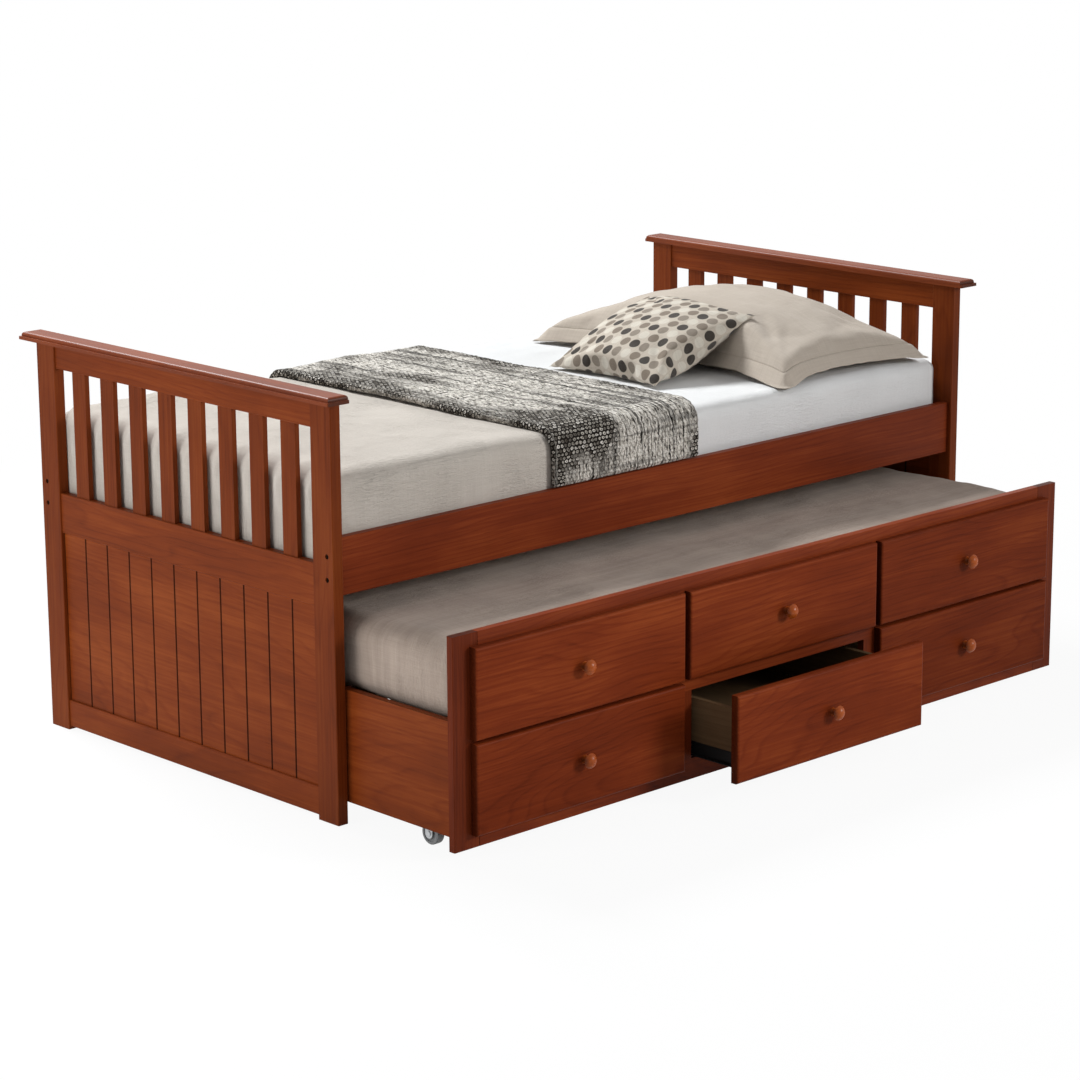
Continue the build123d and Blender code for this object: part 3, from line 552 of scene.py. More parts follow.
def cream_share(tree, flat):
    """Share of the cream cloth, from uneven zones and the dyed patches, and less of it along the throw's two
    long edges and round its rim as painted shade.
    """
    zone = long_noise(tree, flat, 1, ZONE_SCALE, 3.0, place=(0.3, 0.1, 0))
    tone = maths(tree, "ADD", zone, dye_patches(tree, flat))
    # Painted shade: less cream along the throw's long edges and round its rim
    tone = maths(tree, "ADD", tone, ramp(tree, parts_of(tree, flat)[0], EDGE_PAINTED_SHADE))
    return ramp(tree, tone, [(0.57, 0.0), (0.78, 1.0)])


def dye_patches(tree, flat):
    """Tone of the throw's darker and lighter patches, each a soft round place on the flat cloth."""
    total = 0.0
    for place, reach, strength in DYE_PATCHES:
        offset = add(tree, "VectorMath", {0: flat, 1: (*place, 0)}, operation="DISTANCE").outputs["Value"]
        soft = add(tree, "MapRange", {"Value": offset, "From Max": reach, "To Min": strength, "To Max": 0.0})
        soft.interpolation_type = "SMOOTHSTEP"
        total = maths(tree, "ADD", soft.outputs["Result"], total)
    return total


def shaken_map(tree, flat, scale, reach):
    """Flat places moved a little by noise, so that printed and knitted shapes are not too even."""
    ragged = add(tree, "TexNoise", {"Vector": flat, "Scale": scale, "Detail": 2.0}).outputs["Color"]
    shake = add(tree, "VectorMath", {0: ragged, 1: grey(0.5)}, operation="SUBTRACT").outputs[0]
    moved = {0: shake, 1: (reach, reach, 0), 2: flat}
    return add(tree, "VectorMath", moved, operation="MULTIPLY_ADD").outputs[0]


def staggered(tree, flat, wide, long):
    """Cell number and place in the cell, from -0.5 to 0.5, of rows that step by half a cell."""
    parts = parts_of(tree, flat)
    rows = maths(tree, "DIVIDE", parts[1], long)
    line = maths(tree, "FLOOR", rows)
    odd = maths(tree, "MODULO", line, 2.0)
    columns = scaled(tree, odd, 0.5, maths(tree, "DIVIDE", parts[0], wide))
    cell = add(tree, "CombineXYZ", {"X": maths(tree, "FLOOR", columns), "Y": line}).outputs[0]
    return cell, in_cell(tree, columns), in_cell(tree, rows)


def dotted(name):
    """Cream cloth with lines of round dots in four tones, where each line is two tones on from the last."""
    material, tree, shader = new_material(name, CLOTH_SHADER)
    flat = add(tree, "TexCoord").outputs["UV"]
    places = parts_of(tree, shaken_map(tree, flat, 160.0, DOT_SHAKE))
    first_column, first_row = (0.5 - size / 2 for size in CUSHION_FLAT)
    columns = maths(tree, "DIVIDE", maths(tree, "SUBTRACT", places[0], first_column), DOT_PITCH)
    rows = maths(tree, "DIVIDE", maths(tree, "SUBTRACT", places[1], first_row), DOT_ROW)
    dx = maths(tree, "MULTIPLY", in_cell(tree, columns), DOT_PITCH / DOT_TALL)
    dy = maths(tree, "MULTIPLY", in_cell(tree, rows), DOT_ROW)
    away = maths(tree, "DIVIDE", distance(tree, dx, dy), 2 * DOT_RADIUS)
    inside = ramp(tree, away, [(0.47, 1.0), (0.52, 0.0)])
    column, row = (maths(tree, "FLOOR", value) for value in (columns, rows))
    step = scaled(tree, column, 2.0, row)
    order = maths(tree, "MODULO", maths(tree, "ADD", step, 0.5), len(DOT_TONES))
    dots = ramp(tree, maths(tree, "DIVIDE", order, len(DOT_TONES)), DOT_TONES, "CONSTANT")
    fine = uneven_threads(tree, flat, FINE_THREAD, 3.0, 0.6)
    ground = ramp(tree, fine, [(0.7, DOT_GROUND[0]), (1.0, DOT_GROUND[1])])
    slubs = ramp(tree, fine, [(0.7, 0.82), (1.0, 1.0)])
    colour = mix(tree, inside, ground, mix(tree, 1.0, dots, slubs, "MULTIPLY"))
    feed(tree, shader, {"Base Color": colour})
    weave_bump(tree, shader, flat, FINE_WEAVE, fine)
    return material


# Materials of the CAD nodes

def paint(obj, material):
    """One material on the whole object."""
    obj.data.materials.clear()
    obj.data.materials.append(material)


def grain_axis(name):
    """Axis along the grain of a stained piece: 0 along the bed, 1 across it, 2 upright."""
    board = name.startswith(("footboard", "headboard"))
    if board and name.endswith(("top_rail", "mid_rail", "bottom_rail", "panel", "cap")):
        return 1
    if name.startswith("trundle_end_panel"):
        return 1
    if "post" in name or name.endswith(("_slats", "stiles")):
        return 2
    return 0


def cherry(name, seed):
    """Reddish stained wood of a piece of the bed or the trundle."""
    gloss = WOOD_GLOSS
    if name.endswith("cap"):
        gloss = CAP_GLOSS
    elif name.startswith(("false", "drawer")):
        gloss = FRONT_GLOSS
    facing = name.startswith(("false", "drawer", "trundle_front", "side_rail"))
    tones, figure = (FRONT_WOOD, 0.16) if facing else (CHERRY, 0.14)
    # Share that darkens the piece: darker stain on most pieces, painted shade on the head-end fronts and
    # drawers
    shade = next((share for part, share in DARKER_STAIN_AND_PAINTED_SHADE.items() if part in name), 1.0)
    grooves = name in ("footboard_panel", "headboard_panel")
    return wood(name, grain_axis(name), tones, seed, figure, gloss=gloss, shade=shade, grooves=grooves)


def wood_for_nodes():
    """Wood along the grain of every wooden CAD node."""
    across_bed = ("bed_slats", "trundle_dividers", "trundle_battens")
    for seed, entry in enumerate(frame["record"]["subparts"], 1):
        name, slot = entry["node"], entry["material_slot"]
        if slot == "cherry":
            material = cherry(name, seed)
        elif slot == "plain_wood":
            axis = 1 if name in across_bed else 0
            material = wood(name, axis, PINE, seed, figure=0.5, rough=0.6)
        elif slot == "box_wood":
            material = wood(name, 1, BOX_WOOD, seed, rough=0.55)
        elif slot == "knob":
            material = wood(name, 0, KNOB_WOOD, seed, rough=0.28, gloss=0.12, coat=0.08)
        else:
            continue
        paint(nodes[name], material)


def metal_for_nodes():
    """Steel and plastic CAD nodes."""
    kinds = {
        "zinc": metal("zinc", (0.46, 0.47, 0.48), rough=0.42, metallic=1.0),
        "black_steel": metal("black_steel", grey(0.010), rough=0.45, metallic=0.0, gloss=0.12),
        "wheel": plastic("wheel", (0.20, 0.205, 0.21), rough=0.5),
    }
    for entry in frame["record"]["subparts"]:
        if entry["material_slot"] in kinds:
            paint(nodes[entry["node"]], kinds[entry["material_slot"]])
    dark_bolts = metal("dark_bolts", (0.008, 0.007, 0.006), rough=0.6, metallic=0.0, gloss=0.05)
    paint(nodes["rail_bolts"], dark_bolts)


# Mesh helpers

def new_object(name, points, faces, smooth=True):
    """Mesh object from points and faces."""
    mesh = bpy.data.meshes.new(name)
    mesh.from_pydata([tuple(p) for p in points], [], faces)
    if smooth:
        mesh.shade_smooth()
    obj = bpy.data.objects.new(name, mesh)
    bpy.context.scene.collection.objects.link(obj)
    return obj


def set_map(obj, flat):
    """Flat cloth places, in metres, as the object's texture map."""
    layer = obj.data.uv_layers.new(name="flat")
    indices = np.zeros(len(obj.data.loops), int)
    obj.data.loops.foreach_get("vertex_index", indices)
    layer.data.foreach_set("uv", np.asarray(flat, np.float32)[indices].ravel())


def smoothed(obj):
    """One level of subdivision."""
    smooth = obj.modifiers.new("smooth", "SUBSURF")
    smooth.levels = smooth.render_levels = 1


def sharpened(obj, points):
    """Points that stay sharp when the object is subdivided."""
    crease = obj.data.attributes.new("crease_vert", "FLOAT", "POINT")
    for number in points:
        crease.data[number].value = 1.0


def wrinkle(points, size, depth, seed, stretch=(1, 1, 1)):
    """Heights of smooth folds of a size and depth; a small stretch makes them longer along its axis."""
    place = Vector((seed * 3.7, seed * 1.9, seed * 2.3))
    scale = Vector(stretch) / size
    return depth * np.array([noise.fractal(Vector(p) * scale + place, *FOLD_NOISE) for p in points])


def lengths_along(line):
    """Length along a line of points up to each of them."""
    return np.concatenate([[0], np.cumsum(np.linalg.norm(np.diff(line, axis=0), axis=1))])


def ring_faces(rings, count, closed=False):
    """Faces between rings of points, and from the last ring to the first where they are closed."""
    faces = []
    for k in range(rings if closed else rings - 1):
        a, b = k * count, (k + 1) % rings * count
        for n in range(count):
            m = (n + 1) % count
            faces.append((a + n, b + n, b + m, a + m))
    return faces


def skin(low, high, cells):
    """Points and faces of a block's skin, divided into cells."""
    numbers = {}
    points = []
    faces = []

    def corner(i, j, k):
        key = (i, j, k)
        if key not in numbers:
            numbers[key] = len(points)
            points.append([low[a] + (high[a] - low[a]) * key[a] / cells[a] for a in range(3)])
        return numbers[key]

    for axis in range(3):
        a, b = [n for n in range(3) if n != axis]
        for side in (0, cells[axis]):
            outward = (side > 0) == (axis != 1)
            for i, j in np.ndindex(cells[a], cells[b]):
                quad = []
                for di, dj in ((0, 0), (1, 0), (1, 1), (0, 1)):
                    place = [0, 0, 0]
                    place[axis], place[a], place[b] = side, i + di, j + dj
                    quad.append(corner(*place))
                faces.append(quad if outward else quad[::-1])
    return np.array(points), faces


def soft_block(low, high, radius, cell):
    """Block with round edges, as points, outward directions, faces and flat places of its unrolled cloth."""
    low, high = np.array(low), np.array(high)
    cells = [max(4, round((high[a] - low[a]) / cell)) for a in range(3)]
    points, faces = skin(low, high, cells)
    core = np.clip(points, low + radius, high - radius)
    out = points - core
    normal = out / np.maximum(np.linalg.norm(out, axis=1, keepdims=True), TINY)
    drop = high[2] - points[:, 2]
    ends = np.abs(normal[:, 0]) > np.abs(normal[:, 1])
    u = points[:, 0] + np.where(ends, np.sign(normal[:, 0]) * drop, 0)
    v = points[:, 1] + np.where(ends, 0, np.sign(normal[:, 1]) * drop)
    beside = np.abs(normal[:, :2])
    squared_off = (beside ** CORNER_POWER).sum(axis=1) ** (1 / CORNER_POWER)
    square = np.linalg.norm(beside, axis=1) / np.maximum(squared_off, TINY)
    shaped = core + normal * radius * np.column_stack([square, square, np.ones(len(square))])
    return shaped, normal, faces, np.stack([u, v], -1)


# Mattresses, throw and cover

def mattress(name, node, body, material, seed, folds, radius):
    """Padded mattress in place of its CAD block."""
    low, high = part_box(node)
    points, normal, faces, flat = soft_block(low, high, radius, MATTRESS_CELL)
    lumps = wrinkle(points, size=0.22, depth=0.0035, seed=seed)
    creases = wrinkle(points, size=0.11, depth=0.0022, seed=seed + 4, stretch=(0.35, 1, 1))
    points += normal * ((lumps + creases) * folds - MATTRESS_SETTLE)[:, None]
    obj = new_object(name, points, faces)
    set_map(obj, flat)
    paint(obj, material)
    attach(obj, body)
    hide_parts(node)
    return obj


def bed_profile(hem, off):
    """Line across the bed over the mattress, from hem to hem: places and outward directions in y and z."""
    low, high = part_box("upper_mattress")
    middle_y = (low.y + high.y) / 2
    half = (high.y - low.y) / 2
    radius = UPPER_ROUND
    line = []
    for z in np.linspace(hem, high.z - radius, SIDE_POINTS)[:-1]:
        line.append((half, z, 1.0, 0.0))
    for angle in np.linspace(0, math.pi / 2, EDGE_POINTS):
        y = half - radius + radius * math.cos(angle)
        z = high.z - radius + radius * math.sin(angle)
        line.append((y, z, math.cos(angle), math.sin(angle)))
    for y in np.linspace(half - radius, 0, TOP_POINTS)[1:]:
        line.append((y, high.z, 0.0, 1.0))
    right = [(-y, z, -ny, nz) for y, z, ny, nz in line]
    left = line[::-1][1:]
    full = np.array(right + left)
    full[:, :2] += full[:, 2:] * off
    full[:, 0] += middle_y
    return full


def throw_section():
    """Closed line round the throw's section, as places across it and heights."""
    wide, half = THROW_TO - THROW_FROM, THROW_CLOTH / 2
    top = [(u, half) for u in np.linspace(half, wide - half, THROW_COLUMNS)]
    turns = np.linspace(math.pi / 2, -math.pi / 2, THROW_TURN)[1:-1]
    right = [(wide - half + half * math.cos(a), half * math.sin(a)) for a in turns]
    line = np.array(top + right + [(u, -h) for u, h in top[::-1]] + [(wide - u, -h) for u, h in right])
    line[:, 1] *= 1 + ROLL_SHARE * np.exp(-line[:, 0] / ROLL_REACH)
    return line


def throw():
    """Thick knitted throw across the bed, hanging to the side rails."""
    profile = bed_profile(THROW_HEM, THROW_OFF + THROW_CLOTH / 2)
    along = lengths_along(profile[:, :2])
    length = float(along[-1])
    section = throw_section()
    across = lengths_along(section)
    count = len(section)
    points = []
    flat = []
    for v in np.linspace(0, length, THROW_ROWS):
        y, z, out_y, out_z = (np.interp(v, along, column) for column in profile.T)
        fullness = 1.0 if 0 < v < length else THROW_END
        for (u, height), place in zip(section, across):
            base = Vector((THROW_FROM + u, y, z))
            fold = DRAPE_DEEP * noise.fractal(base * DRAPE_SCALE, *FOLD_NOISE)
            fold += LUMP_DEEP * noise.fractal(base / LUMP_SIZE + Vector((9, 4, 2)), *FOLD_NOISE)
            knit = KNIT_DEEP * noise.noise(base / KNIT_SIZE + Vector((height * 90, 0, 0)))
            rise = height * fullness + max(0.0, fold) + knit
            slide = SLIDE_DEEP * noise.noise(Vector((u / 2, y, z)) / SLIDE_SIZE) + 1.2 * knit
            points.append((base.x + slide, y + out_y * rise, z + out_z * rise))
            flat.append((place, v))
    faces = [tuple(range(count)), tuple(range(len(points) - count, len(points)))[::-1]]
    obj = new_object("throw", points, faces + ring_faces(THROW_ROWS, count))
    set_map(obj, flat)
    paint(obj, tweed("tweed"))
    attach(obj, "bed_frame")
    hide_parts("throw_blanket")


def crumple(points):
    """Heights of soft sharp-backed creases that run aslant to the bed's edge."""
    heights = []
    for x, y, z in points:
        along, beside = x + CRUMPLE_SLANT * y, y - CRUMPLE_SLANT * x
        crease = noise.noise(Vector((along / CRUMPLE_LONG, (beside + 0.8 * z) / CRUMPLE_WIDE, 4.2)))
        patch = noise.noise(Vector((x, y, z)) / CRUMPLE_PATCH + Vector((2, 7, 5)))
        heights.append(CRUMPLE_DEEP * (0.35 - abs(crease)) * min(max(0.4 + 1.6 * patch, 0), 1))
    return np.array(heights)


def cover_shift(points, normal, low, high):
    """How far the cover's points stand out: folds, creases by the edges, and bulges between the slats."""
    lumps = wrinkle(points, size=0.26, depth=0.005, seed=21, stretch=(0.7, 1, 1))
    creases = wrinkle(points, size=0.075, depth=0.0028, seed=23, stretch=(0.3, 1, 1))
    hang = wrinkle(points, size=0.06, depth=0.002, seed=25, stretch=(1, 1, 0.12))
    side = np.clip(0.9 - normal[:, 2], 0, 1)
    from_middle = points[:, 1] - (low[1] + high[1]) / 2
    past_edge = np.abs(from_middle) - (high[1] - low[1]) / 2
    by_edge = np.exp(-((past_edge + EDGE_INSET) / EDGE_REACH) ** 2)
    by_foot = 1 + np.exp(-((points[:, 0] - low[0]) / FOOT_REACH) ** 2)
    before_throw = THROW_FROM - points[:, 0]
    puff = COVER_PUFF * np.clip(before_throw / PUFF_REACH, 0, 1) * np.clip(normal[:, 2], 0, 1)
    folds = lumps + creases * (1 - side) + hang * side + crumple(points) * by_edge * by_foot + puff
    shift = folds * np.clip(before_throw / FREE_REACH, 0, 1)
    between = np.cos(2 * math.pi * from_middle / SLAT_PITCH)
    bulge = SLAT_ROOM * np.clip(between, 0, 1) * (np.abs(from_middle) < SLATS_HALF)
    at_foot = normal[:, 0] < FOOT_FACING
    shift = np.where(at_foot, np.maximum(shift, bulge), shift)
    above = np.clip((points[:, 2] - TUCK_HEIGHT) / TUCK_REACH, 0, 1)
    room = (np.where(at_foot, bulge, COVER_ROOM) + puff) * above
    return np.clip(shift, -COVER_SINK, room)


def cover():
    """Linen cover over the foot half of the mattress, tucked in at the sides and the foot."""
    low, high = (np.array(v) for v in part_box("upper_mattress"))
    off = COVER_OFF + COVER_CLOTH / 2
    points, normal, faces, flat = soft_block(low - off, high + off, UPPER_ROUND + off, COVER_CELL)
    moved = points + normal * cover_shift(points, normal, low, high)[:, None]
    hem = np.where(normal[:, 0] < FOOT_FACING, FOOT_HEM, COVER_HEM)
    kept = (points[:, 0] < COVER_END) & (points[:, 2] > hem)
    faces = [f for f in faces if all(kept[i] for i in f)]
    used = sorted({i for f in faces for i in f})
    number = {old: new for new, old in enumerate(used)}
    obj = new_object("cover", moved[used], [[number[i] for i in f] for f in faces])
    set_map(obj, flat[used])
    thick = obj.modifiers.new("thick", "SOLIDIFY")
    thick.thickness = COVER_CLOTH
    thick.offset = 0.0
    paint(obj, cloth("linen_cover", COVER_TONES, LINEN_WEAVE, slub=0.35, crease=0.0013))
    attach(obj, "bed_frame")
    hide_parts("bed_cover")


# Pillow and cushion

def two_panels(width, length, cell, puff):
    """Two panels of cloth sewn together round the edge, slightly puffed, with their flat places."""
    columns, rows = round(width / cell) + 1, round(length / cell) + 1
    points = []
    flat = []
    number = {}
    faces = []
    for side in (1, -1):
        for i, j in np.ndindex(rows, columns):
            edge = i in (0, rows - 1) or j in (0, columns - 1)
            if edge and side < 0:
                number[side, i, j] = number[1, i, j]
                continue
            s, t = 2 * j / (columns - 1) - 1, 2 * i / (rows - 1) - 1
            number[side, i, j] = len(points)
            points.append((s * width / 2, t * length / 2, side * puff * (1 - s * s) * (1 - t * t)))
            flat.append((s * width / 2 + 0.5, t * length / 2 + 0.5))
        for i, j in np.ndindex(rows - 1, columns - 1):
            quad = [number[side, i + a, j + b] for a, b in ((0, 0), (0, 1), (1, 1), (1, 0))]
            faces.append(quad if side > 0 else quad[::-1])
    return np.array(points), flat, faces, number, (rows, columns)


def inflated(name, points, faces, pressure):
    """Points of a closed cloth bag after it is blown up."""
    blown = new_object(name + "_bag", points, faces)
    settings = blown.modifiers.new("cloth", "CLOTH").settings
    settings.quality = 6
    settings.mass = 0.3
    settings.tension_stiffness = settings.compression_stiffness = 40
    settings.shear_stiffness = 12
    settings.bending_stiffness = 0.4
    settings.use_pressure = True
    settings.uniform_pressure_force = pressure
    settings.effector_weights.gravity = 0
    blown.modifiers["cloth"].point_cache.frame_end = SIM_FRAMES
    scene = bpy.context.scene
    for step in range(1, SIM_FRAMES + 1):
        scene.frame_set(step)
    shaped = blown.evaluated_get(bpy.context.evaluated_depsgraph_get()).to_mesh()
    result = np.array([v.co[:] for v in shaped.vertices])
    mesh = blown.data
    bpy.data.objects.remove(blown)
    bpy.data.meshes.remove(mesh)
    scene.frame_set(1)
    return result


def bag(name, flat_size, size, cell, pressure):
    """Two sewn panels blown up as cloth and brought to their finished size."""
    points, flat, faces, number, shape = two_panels(*flat_size, cell, BAG_PUFF)
    points = inflated(name, points, faces, pressure)
    low, high = points.min(axis=0), points.max(axis=0)
    points = (points - (low + high) / 2) * np.array(size) / (high - low)
    return points, flat, faces, number, shape


def hanging_corner(across, along):
    """Share by which the pillow hangs near its corners, most at the front one by the foot."""
    front = (across < 0) & (along < 0)
    return np.abs(across * along) ** 5 * np.where(front, 1.0, PILLOW_HANG)


def puckers(flat, across, along):
    """Small folds square to the nearest seam, for flat places and their shares of the bag's half sizes."""
    heights = []
    for (u, v), s, t in zip(flat, np.abs(across), np.abs(along)):
        beside = Vector((v, 0.3, 0)) if s > t else Vector((u, 0.7, 0))
        heights.append(noise.fractal(beside / PUCKER_LONG, *PUCKER_NOISE))
    return np.array(heights)


def settled(points, flat, number, shape, seam):
    """Bag laid on a flat top: seams drawn in and puckered, corners hanging, underside pressed flat."""
    rows, columns = shape
    inner = [(i, j) for i in range(1, rows - 1) for j in range(1, columns - 1)]
    tops = [number[1, i, j] for i, j in inner]
    lows = [number[-1, i, j] for i, j in inner]
    thickness = points[tops, 2] - points[lows, 2]
    fuller = thickness.max() * (thickness / thickness.max()) ** PILLOW_FULLNESS / thickness
    points[tops, 2] *= fuller
    points[lows, 2] *= fuller
    places = np.array(flat) - 0.5
    half = places.max(axis=0)
    across, along = (places / half).T
    points[:, 0] *= 1 - PILLOW_WAIST * (1 - along ** 2)
    points[:, 1] *= 1 - PILLOW_WAIST * (1 - across ** 2)
    inside = (half - np.abs(places)).min(axis=1)
    points[:, 2] *= 1 - PINCH_SHARE * np.exp(-inside / PINCH_REACH)
    points[:, 2] += PUCKER_DEEP * puckers(flat, across, along) * np.exp(-inside / PUCKER_REACH)
    dimples = wrinkle(points[tops], size=0.11, depth=0.005, seed=37, stretch=(1, 0.6, 0.3))
    points[tops, 2] += dimples * np.minimum(1, inside[tops] / DIMPLE_REACH)
    points[:, 2] += seam - PILLOW_DROOP * hanging_corner(across, along)
    pressed = np.maximum(0, -points[lows, 2])
    points[lows, 2] += pressed
    points[tops, 2] += pressed
    return points


def seam_loop(number, shape):
    """Point numbers round the seam, and which way is out at each."""
    rows, columns = shape
    loop = [(0, j) for j in range(columns - 1)]
    loop += [(i, columns - 1) for i in range(rows - 1)]
    loop += [(rows - 1, j) for j in range(columns - 1, 0, -1)]
    loop += [(i, 0) for i in range(rows - 1, 0, -1)]
    out = [((j == columns - 1) - (j == 0), (i == rows - 1) - (i == 0)) for i, j in loop]
    return [number[1, i, j] for i, j in loop], np.array(out, float)


def at_corners(out):
    """Which points of a seam are at its corners, where out points two ways."""
    return out.all(axis=1)


def evened(ring, held):
    """Closed line of points with its small steps smoothed away, except at the points that are held."""
    for _ in range(EVEN_ROUNDS):
        between = (np.roll(ring, 1, axis=0) + np.roll(ring, -1, axis=0)) / 2
        ring = np.where(held[:, None], ring, (ring + between) / 2)
    return ring


def flange(seam, flat, out):
    """Double border sewn on outside a seam, as a closed ring that is wavy and hangs, most at the corners."""
    seam = evened(seam, at_corners(out))
    level = np.zeros(len(out))
    shares = np.linspace(-FLANGE_INSIDE, 1.0, FLANGE_RINGS)
    layers = [(s, 0.5) for s in shares] + [(s, -0.5) for s in shares[::-1]]
    edge = seam + np.column_stack([out * FLANGE_WIDTH, level])
    wave = wrinkle(edge, size=0.13, depth=0.006, seed=31)
    wave += PUCKER_DEEP * FLANGE_PUCKER * puckers(flat + 0.009, out[:, 0], out[:, 1])
    reach = seam[:, :2] / np.abs(seam[:, :2]).max(axis=0)
    by_corner = np.abs(reach[:, 0] * reach[:, 1])
    wave *= 1 - by_corner ** 4
    corner_hang = FLANGE_CORNER * hanging_corner(reach[:, 0], reach[:, 1])
    hanging = FLANGE_DROOP * (1 - FLANGE_CORNER + corner_hang)
    wide = FLANGE_WIDTH * (FLANGE_NARROW + (1 - FLANGE_NARROW) * by_corner ** 12)
    away = out * wide[:, None]
    points = []
    places = []
    for share, side in layers:
        ring = seam + np.column_stack([away * share, level])
        ring[:, 2] += max(share, 0.0) * (wave - hanging) + side * FLANGE_CLOTH
        ring[:, 2] = np.maximum(ring[:, 2], (0.5 + side) * FLANGE_CLOTH)
        points.extend(ring)
        places.extend(flat + away * share)
    return np.array(points), places, ring_faces(len(layers), len(seam), closed=True)


def pillow():
    """Flanged pillow lying on the mattress."""
    body, flat, faces, number, shape = bag("pillow", PILLOW_FLAT, PILLOW_SIZE, PILLOW_CELL, PILLOW_PRESSURE)
    body = settled(body, flat, number, shape, PILLOW_SEAM)
    loop, out = seam_loop(number, shape)
    border, border_flat, border_faces = flange(body[loop], np.array(flat)[loop], out)
    points = np.concatenate([body, border])
    points += np.array([*PILLOW_MIDDLE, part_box("upper_mattress")[1].z - PILLOW_SINK])
    faces = faces + [tuple(i + len(body) for i in f) for f in border_faces]
    obj = new_object("pillow_case", points, faces)
    set_map(obj, flat + border_flat)
    outer_rings = (FLANGE_RINGS - 1, FLANGE_RINGS)
    tips = np.flatnonzero(at_corners(out))
    sharpened(obj, [len(body) + ring * len(loop) + n for ring in outer_rings for n in tips])
    smoothed(obj)
    paint(obj, cloth("linen_pillow", PILLOW_TONES, FINE_WEAVE, slub=0.45, crease=0.0002))
    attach(obj, "bed_frame")
    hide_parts("pillow")
    return points, faces


def cushion(under_points, under_faces):
    """Dotted cushion leaning on the pillow, pressed where it touches the pillow and the mattress."""
    points, flat, faces, number, shape = bag(
        "cushion", CUSHION_FLAT, CUSHION_SIZE, CUSHION_CELL, CUSHION_PRESSURE
    )
    turn = np.array(Matrix.Rotation(math.radians(-CUSHION_TILT), 3, "Y"))
    points = points @ turn.T + np.array(CUSHION_MIDDLE)
    bed_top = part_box("upper_mattress")[1].z
    points[:, 2] = np.maximum(points[:, 2], bed_top + CUSHION_ON_BED)
    tree = BVHTree.FromPolygons([Vector(p) for p in under_points], under_faces)
    for point in points:
        hit = tree.ray_cast(Vector((point[0], point[1], HIGH_ABOVE)), Vector((0, 0, -1)))[0]
        if hit is not None:
            point[2] = max(point[2], hit.z + CUSHION_ON_PILLOW)
    obj = new_object("cushion", points, faces)
    set_map(obj, flat)
    rows, columns = shape
    sharpened(obj, [number[1, i, j] for i in (0, rows - 1) for j in (0, columns - 1)])
    smoothed(obj)
    paint(obj, dotted("dots"))
    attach(obj, "bed_frame")
    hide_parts("dot_cushion")


# Camera, light and floor

def make_camera():
    """Camera at the photo's view."""
    azimuth, drop, roll = (math.radians(v) for v in (CAMERA_AZIMUTH, CAMERA_DROP, CAMERA_ROLL))
    ahead = Vector((math.sin(azimuth) * math.cos(drop), math.cos(azimuth) * math.cos(drop), -math.sin(drop)))
    right = Vector((math.cos(azimuth), -math.sin(azimuth), 0))
    up = right.cross(ahead)
    turned_right = right * math.cos(roll) + up * math.sin(roll)
    turned_up = up * math.cos(roll) - right * math.sin(roll)
    data = bpy.data.cameras.new("camera")
    data.lens = CAMERA_LENS
    data.sensor_width = CAMERA_SENSOR
    data.clip_end = 100
    camera = bpy.data.objects.new("camera", data)
    axes = Matrix((turned_right, turned_up, -ahead)).transposed()
    camera.matrix_world = Matrix.Translation(CAMERA_PLACE) @ axes.to_4x4()
    bpy.context.scene.collection.objects.link(camera)
    bpy.context.scene.camera = camera


def seen_white(tree):
    """1 for what the camera sees, directly or in a mirror or glass, and 0 for light on surfaces."""
    path = add(tree, "LightPath").outputs
    through = maths(tree, "MAXIMUM", path["Is Glossy Ray"], path["Is Transmission Ray"])
    return maths(tree, "MAXIMUM", path["Is Camera Ray"], through)


def make_world():
    """White background, with softer light on the surfaces."""
    world = bpy.data.worlds.new("studio")
    bpy.context.scene.world = world
    world.use_nodes = True
    tree = world.node_tree
    strength = add(tree, "MapRange", {"Value": seen_white(tree), "To Min": WORLD_LIGHT, "To Max": 1.0})
    feed(tree, tree.nodes["Background"], {"Color": grey(1.0), "Strength": strength.outputs["Result"]})


def area_light(name, place, aim, size, power, colour=(1, 1, 1), spread=180):
    """Soft square light, with a grid on it where its spread in degrees is small."""
    data = bpy.data.lights.new(name, "AREA")
    data.shape = "RECTANGLE"
    data.size = data.size_y = size
    data.energy = power
    data.color = colour
    data.spread = math.radians(spread)
    light = bpy.data.objects.new(name, data)
    light.location = place
    light.rotation_euler = (Vector(aim) - Vector(place)).to_track_quat("-Z", "Y").to_euler()
    bpy.context.scene.collection.objects.link(light)


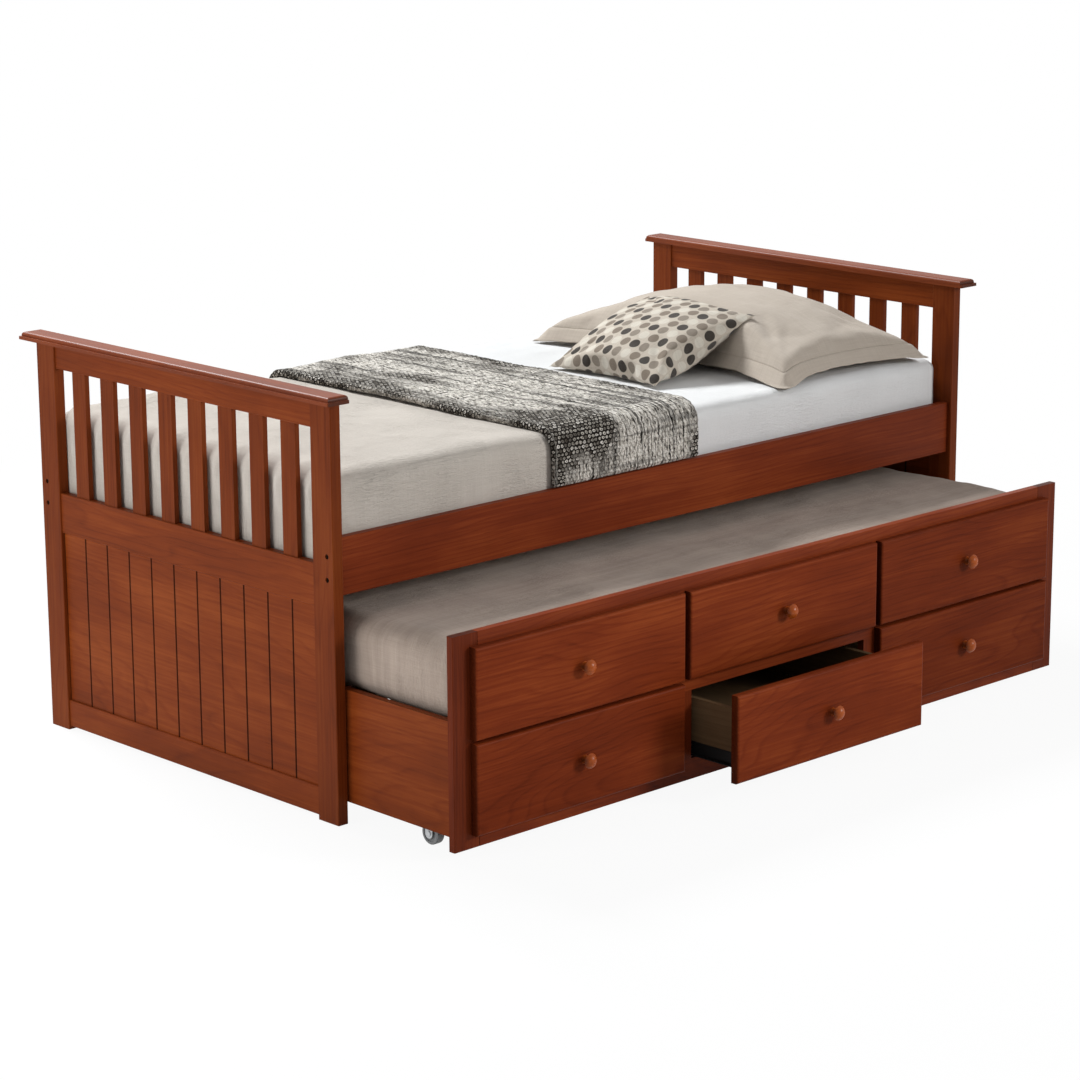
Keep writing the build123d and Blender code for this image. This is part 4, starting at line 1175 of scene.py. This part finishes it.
def make_floor():
    """Pale floor, near white to the camera, that keeps a soft shadow."""
    corners = [(x * FLOOR_REACH, y * FLOOR_REACH, 0) for x, y in ((-1, -1), (1, -1), (1, 1), (-1, 1))]
    floor = new_object("floor", corners, [(0, 1, 2, 3)], False)
    floor.location.z = -FLOOR_DROP
    material = bpy.data.materials.new("floor")
    material.use_nodes = True
    tree = material.node_tree
    tree.nodes.clear()
    white = add(tree, "Emission", {"Strength": 1.0})
    diffuse = add(tree, "BsdfDiffuse", {"Color": grey(FLOOR_TONE)})
    place = add(tree, "TexCoord").outputs["Object"]
    away = add(tree, "VectorMath", {0: place}, operation="LENGTH").outputs["Value"]
    near, far = FLOOR_SHADOW
    fade = add(tree, "MapRange", {"Value": away, "From Min": near, "From Max": far, "To Min": FLOOR_WHITE})
    share = maths(tree, "MULTIPLY", seen_white(tree), fade.outputs["Result"])
    blend = add(tree, "MixShader", {0: share, 1: diffuse.outputs[0], 2: white.outputs[0]})
    add(tree, "OutputMaterial", {"Surface": blend.outputs[0]})
    paint(floor, material)


wood_for_nodes()
metal_for_nodes()
sheet_cloth = cloth("sheet", SHEET_TONES, SHEET_WEAVE, slub=0.3, crease=0.0007)
low_cloth = cloth("linen_low", LOW_TONES, LINEN_WEAVE, slub=0.35, crease=0.0012, streak=0.6)
upper = mattress(
    "mattress", "upper_mattress", "bed_frame", sheet_cloth, seed=3, folds=0.8, radius=UPPER_ROUND
)
lower = mattress(
    "mattress_low", "trundle_mattress", "trundle", low_cloth, seed=5, folds=1.2, radius=LOWER_ROUND
)
cover()
throw()
cushion(*pillow())
make_camera()
make_world()
area_light("key", place=(-0.5, 5.7, 6.4), aim=(0.0, 0.2, 0.6), size=2.0, power=930, colour=KEY_COLOUR)
area_light("front", place=(3.0, -4.8, 2.5), aim=(-1.0, -0.4, 0.5), size=1.6, power=23, spread=60)
area_light("foot", place=(-3.3, 0.2, 1.1), aim=(-1.0, 0.2, 0.5), size=1.2, power=28)
make_floor()
bpy.context.scene.view_settings.view_transform = "Standard"
